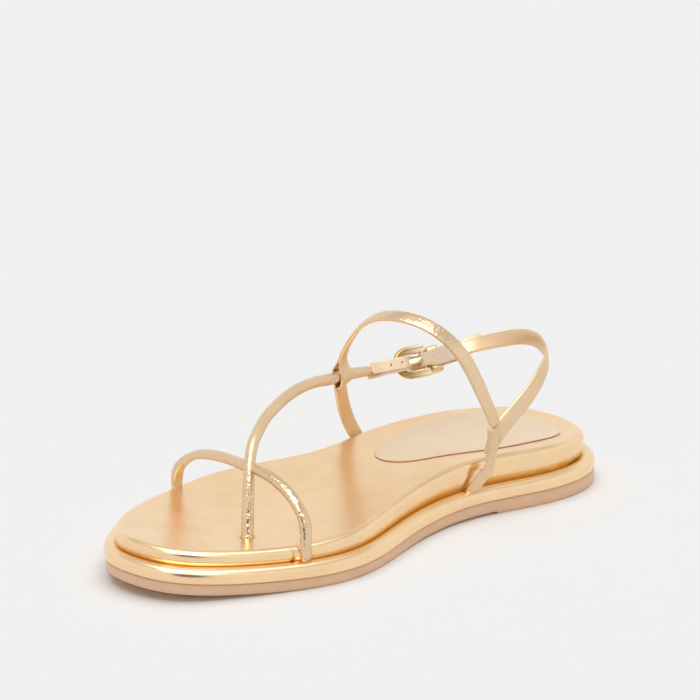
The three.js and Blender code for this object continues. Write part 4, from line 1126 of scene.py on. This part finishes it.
def buildFloor():
    # large matt square at the sole's height
    half = studio["floorHalf"]
    mesh = bpy.data.meshes.new("studio_floor")
    corners = [(-half, -half, 0), (half, -half, 0), (half, half, 0), (-half, half, 0)]
    mesh.from_pydata(corners, [], [(0, 1, 2, 3)])
    floor = addObject("studio_floor", mesh)
    material, tree, shader = newMaterial("pale floor")
    colour = (studio["floor"],) * 3 + (1,)
    wire(tree, shader, {"Base Color": colour, "Roughness": studio["floorRough"], "Specular IOR Level": 0.0})
    mesh.materials.append(material)


def buildWorld():
    # bright near the floor and overhead, a dim gap between, one large soft panel high up, a dim patch low down
    s = studio
    world = bpy.data.worlds.new("studio")
    bpy.context.scene.world = world
    world.use_nodes = True
    world.cycles_visibility.diffuse = False
    tree = world.node_tree
    ray = tree.nodes.new("ShaderNodeTexCoord").outputs["Generated"]

    def facing(axis):
        node = tree.nodes.new("ShaderNodeVectorMath")
        node.operation = "DOT_PRODUCT"
        return wire(tree, node, {0: ray, 1: axis}).outputs["Value"]

    def combine(operation, a, b=0.0):
        node = tree.nodes.new("ShaderNodeMath")
        node.operation = operation
        return wire(tree, node, {0: a, 1: b}).outputs["Value"]

    def step(value, *ends):
        node = tree.nodes.new("ShaderNodeMapRange")
        node.interpolation_type = "SMOOTHSTEP"
        ends = dict(zip(("From Min", "From Max", "To Min", "To Max"), ends))
        return wire(tree, node, {"Value": value, **ends}).outputs["Result"]

    up = facing((0, 0, 1))
    level = step(up, *s["gapFrom"], s["horizon"], s["gap"])
    level = combine("ADD", level, step(up, *s["gapTo"], 0.0, s["ceiling"] - s["gap"]))
    ahead = direction(s["panelAzimuth"], s["panelElevation"])
    sideways = direction(s["panelAzimuth"] + 90, 0)
    inside = step(facing(ahead), *s["panelFront"], 0.0, 1.0)
    for axis, half in zip((sideways, sideways.cross(ahead)), s["panelHalf"]):
        edge, soft = math.sin(math.radians(half)), s["panelSoft"]
        within = step(combine("ABSOLUTE", facing(axis)), edge - soft, edge + soft, 1.0, 0.0)
        inside = combine("MULTIPLY", inside, within)
    level = combine("ADD", level, combine("MULTIPLY", inside, s["panel"]))
    low = direction(s["shadeAzimuth"], s["shadeElevation"])
    edge, soft = math.cos(math.radians(s["shadeHalf"])), s["shadeSoft"]
    level = combine("MULTIPLY", level, step(facing(low), edge - soft, edge + soft, 1.0, 1.0 - s["shade"]))
    wire(tree, tree.nodes["Background"], {"Color": (1, 1, 1, 1), "Strength": level})


def buildLamps():
    # lamps for the floor and the matt pieces only: foil mirrors the world instead
    for label in ("top", "fill"):
        data = bpy.data.lights.new(label, "SUN")
        data.energy = studio[label] * math.pi
        data.angle = math.radians(studio[label + "Angle"])
        addObject(label, data).visible_glossy = False


def buildCamera():
    # placed and turned to match the photo
    data = bpy.data.cameras.new("camera")
    data.lens, data.sensor_width, data.clip_end = view["lens"], view["sensor"], view["far"]
    camera = addObject("camera", data)
    camera.location = view["place"]
    camera.rotation_mode = "QUATERNION"
    camera.rotation_quaternion = (-direction(view["azimuth"], view["elevation"])).to_track_quat("-Z", "Y")
    bpy.context.scene.camera = camera


buildFloor()
buildWorld()
buildLamps()
buildCamera()
bpy.context.scene.view_settings.view_transform = "Standard"
print("studio set")
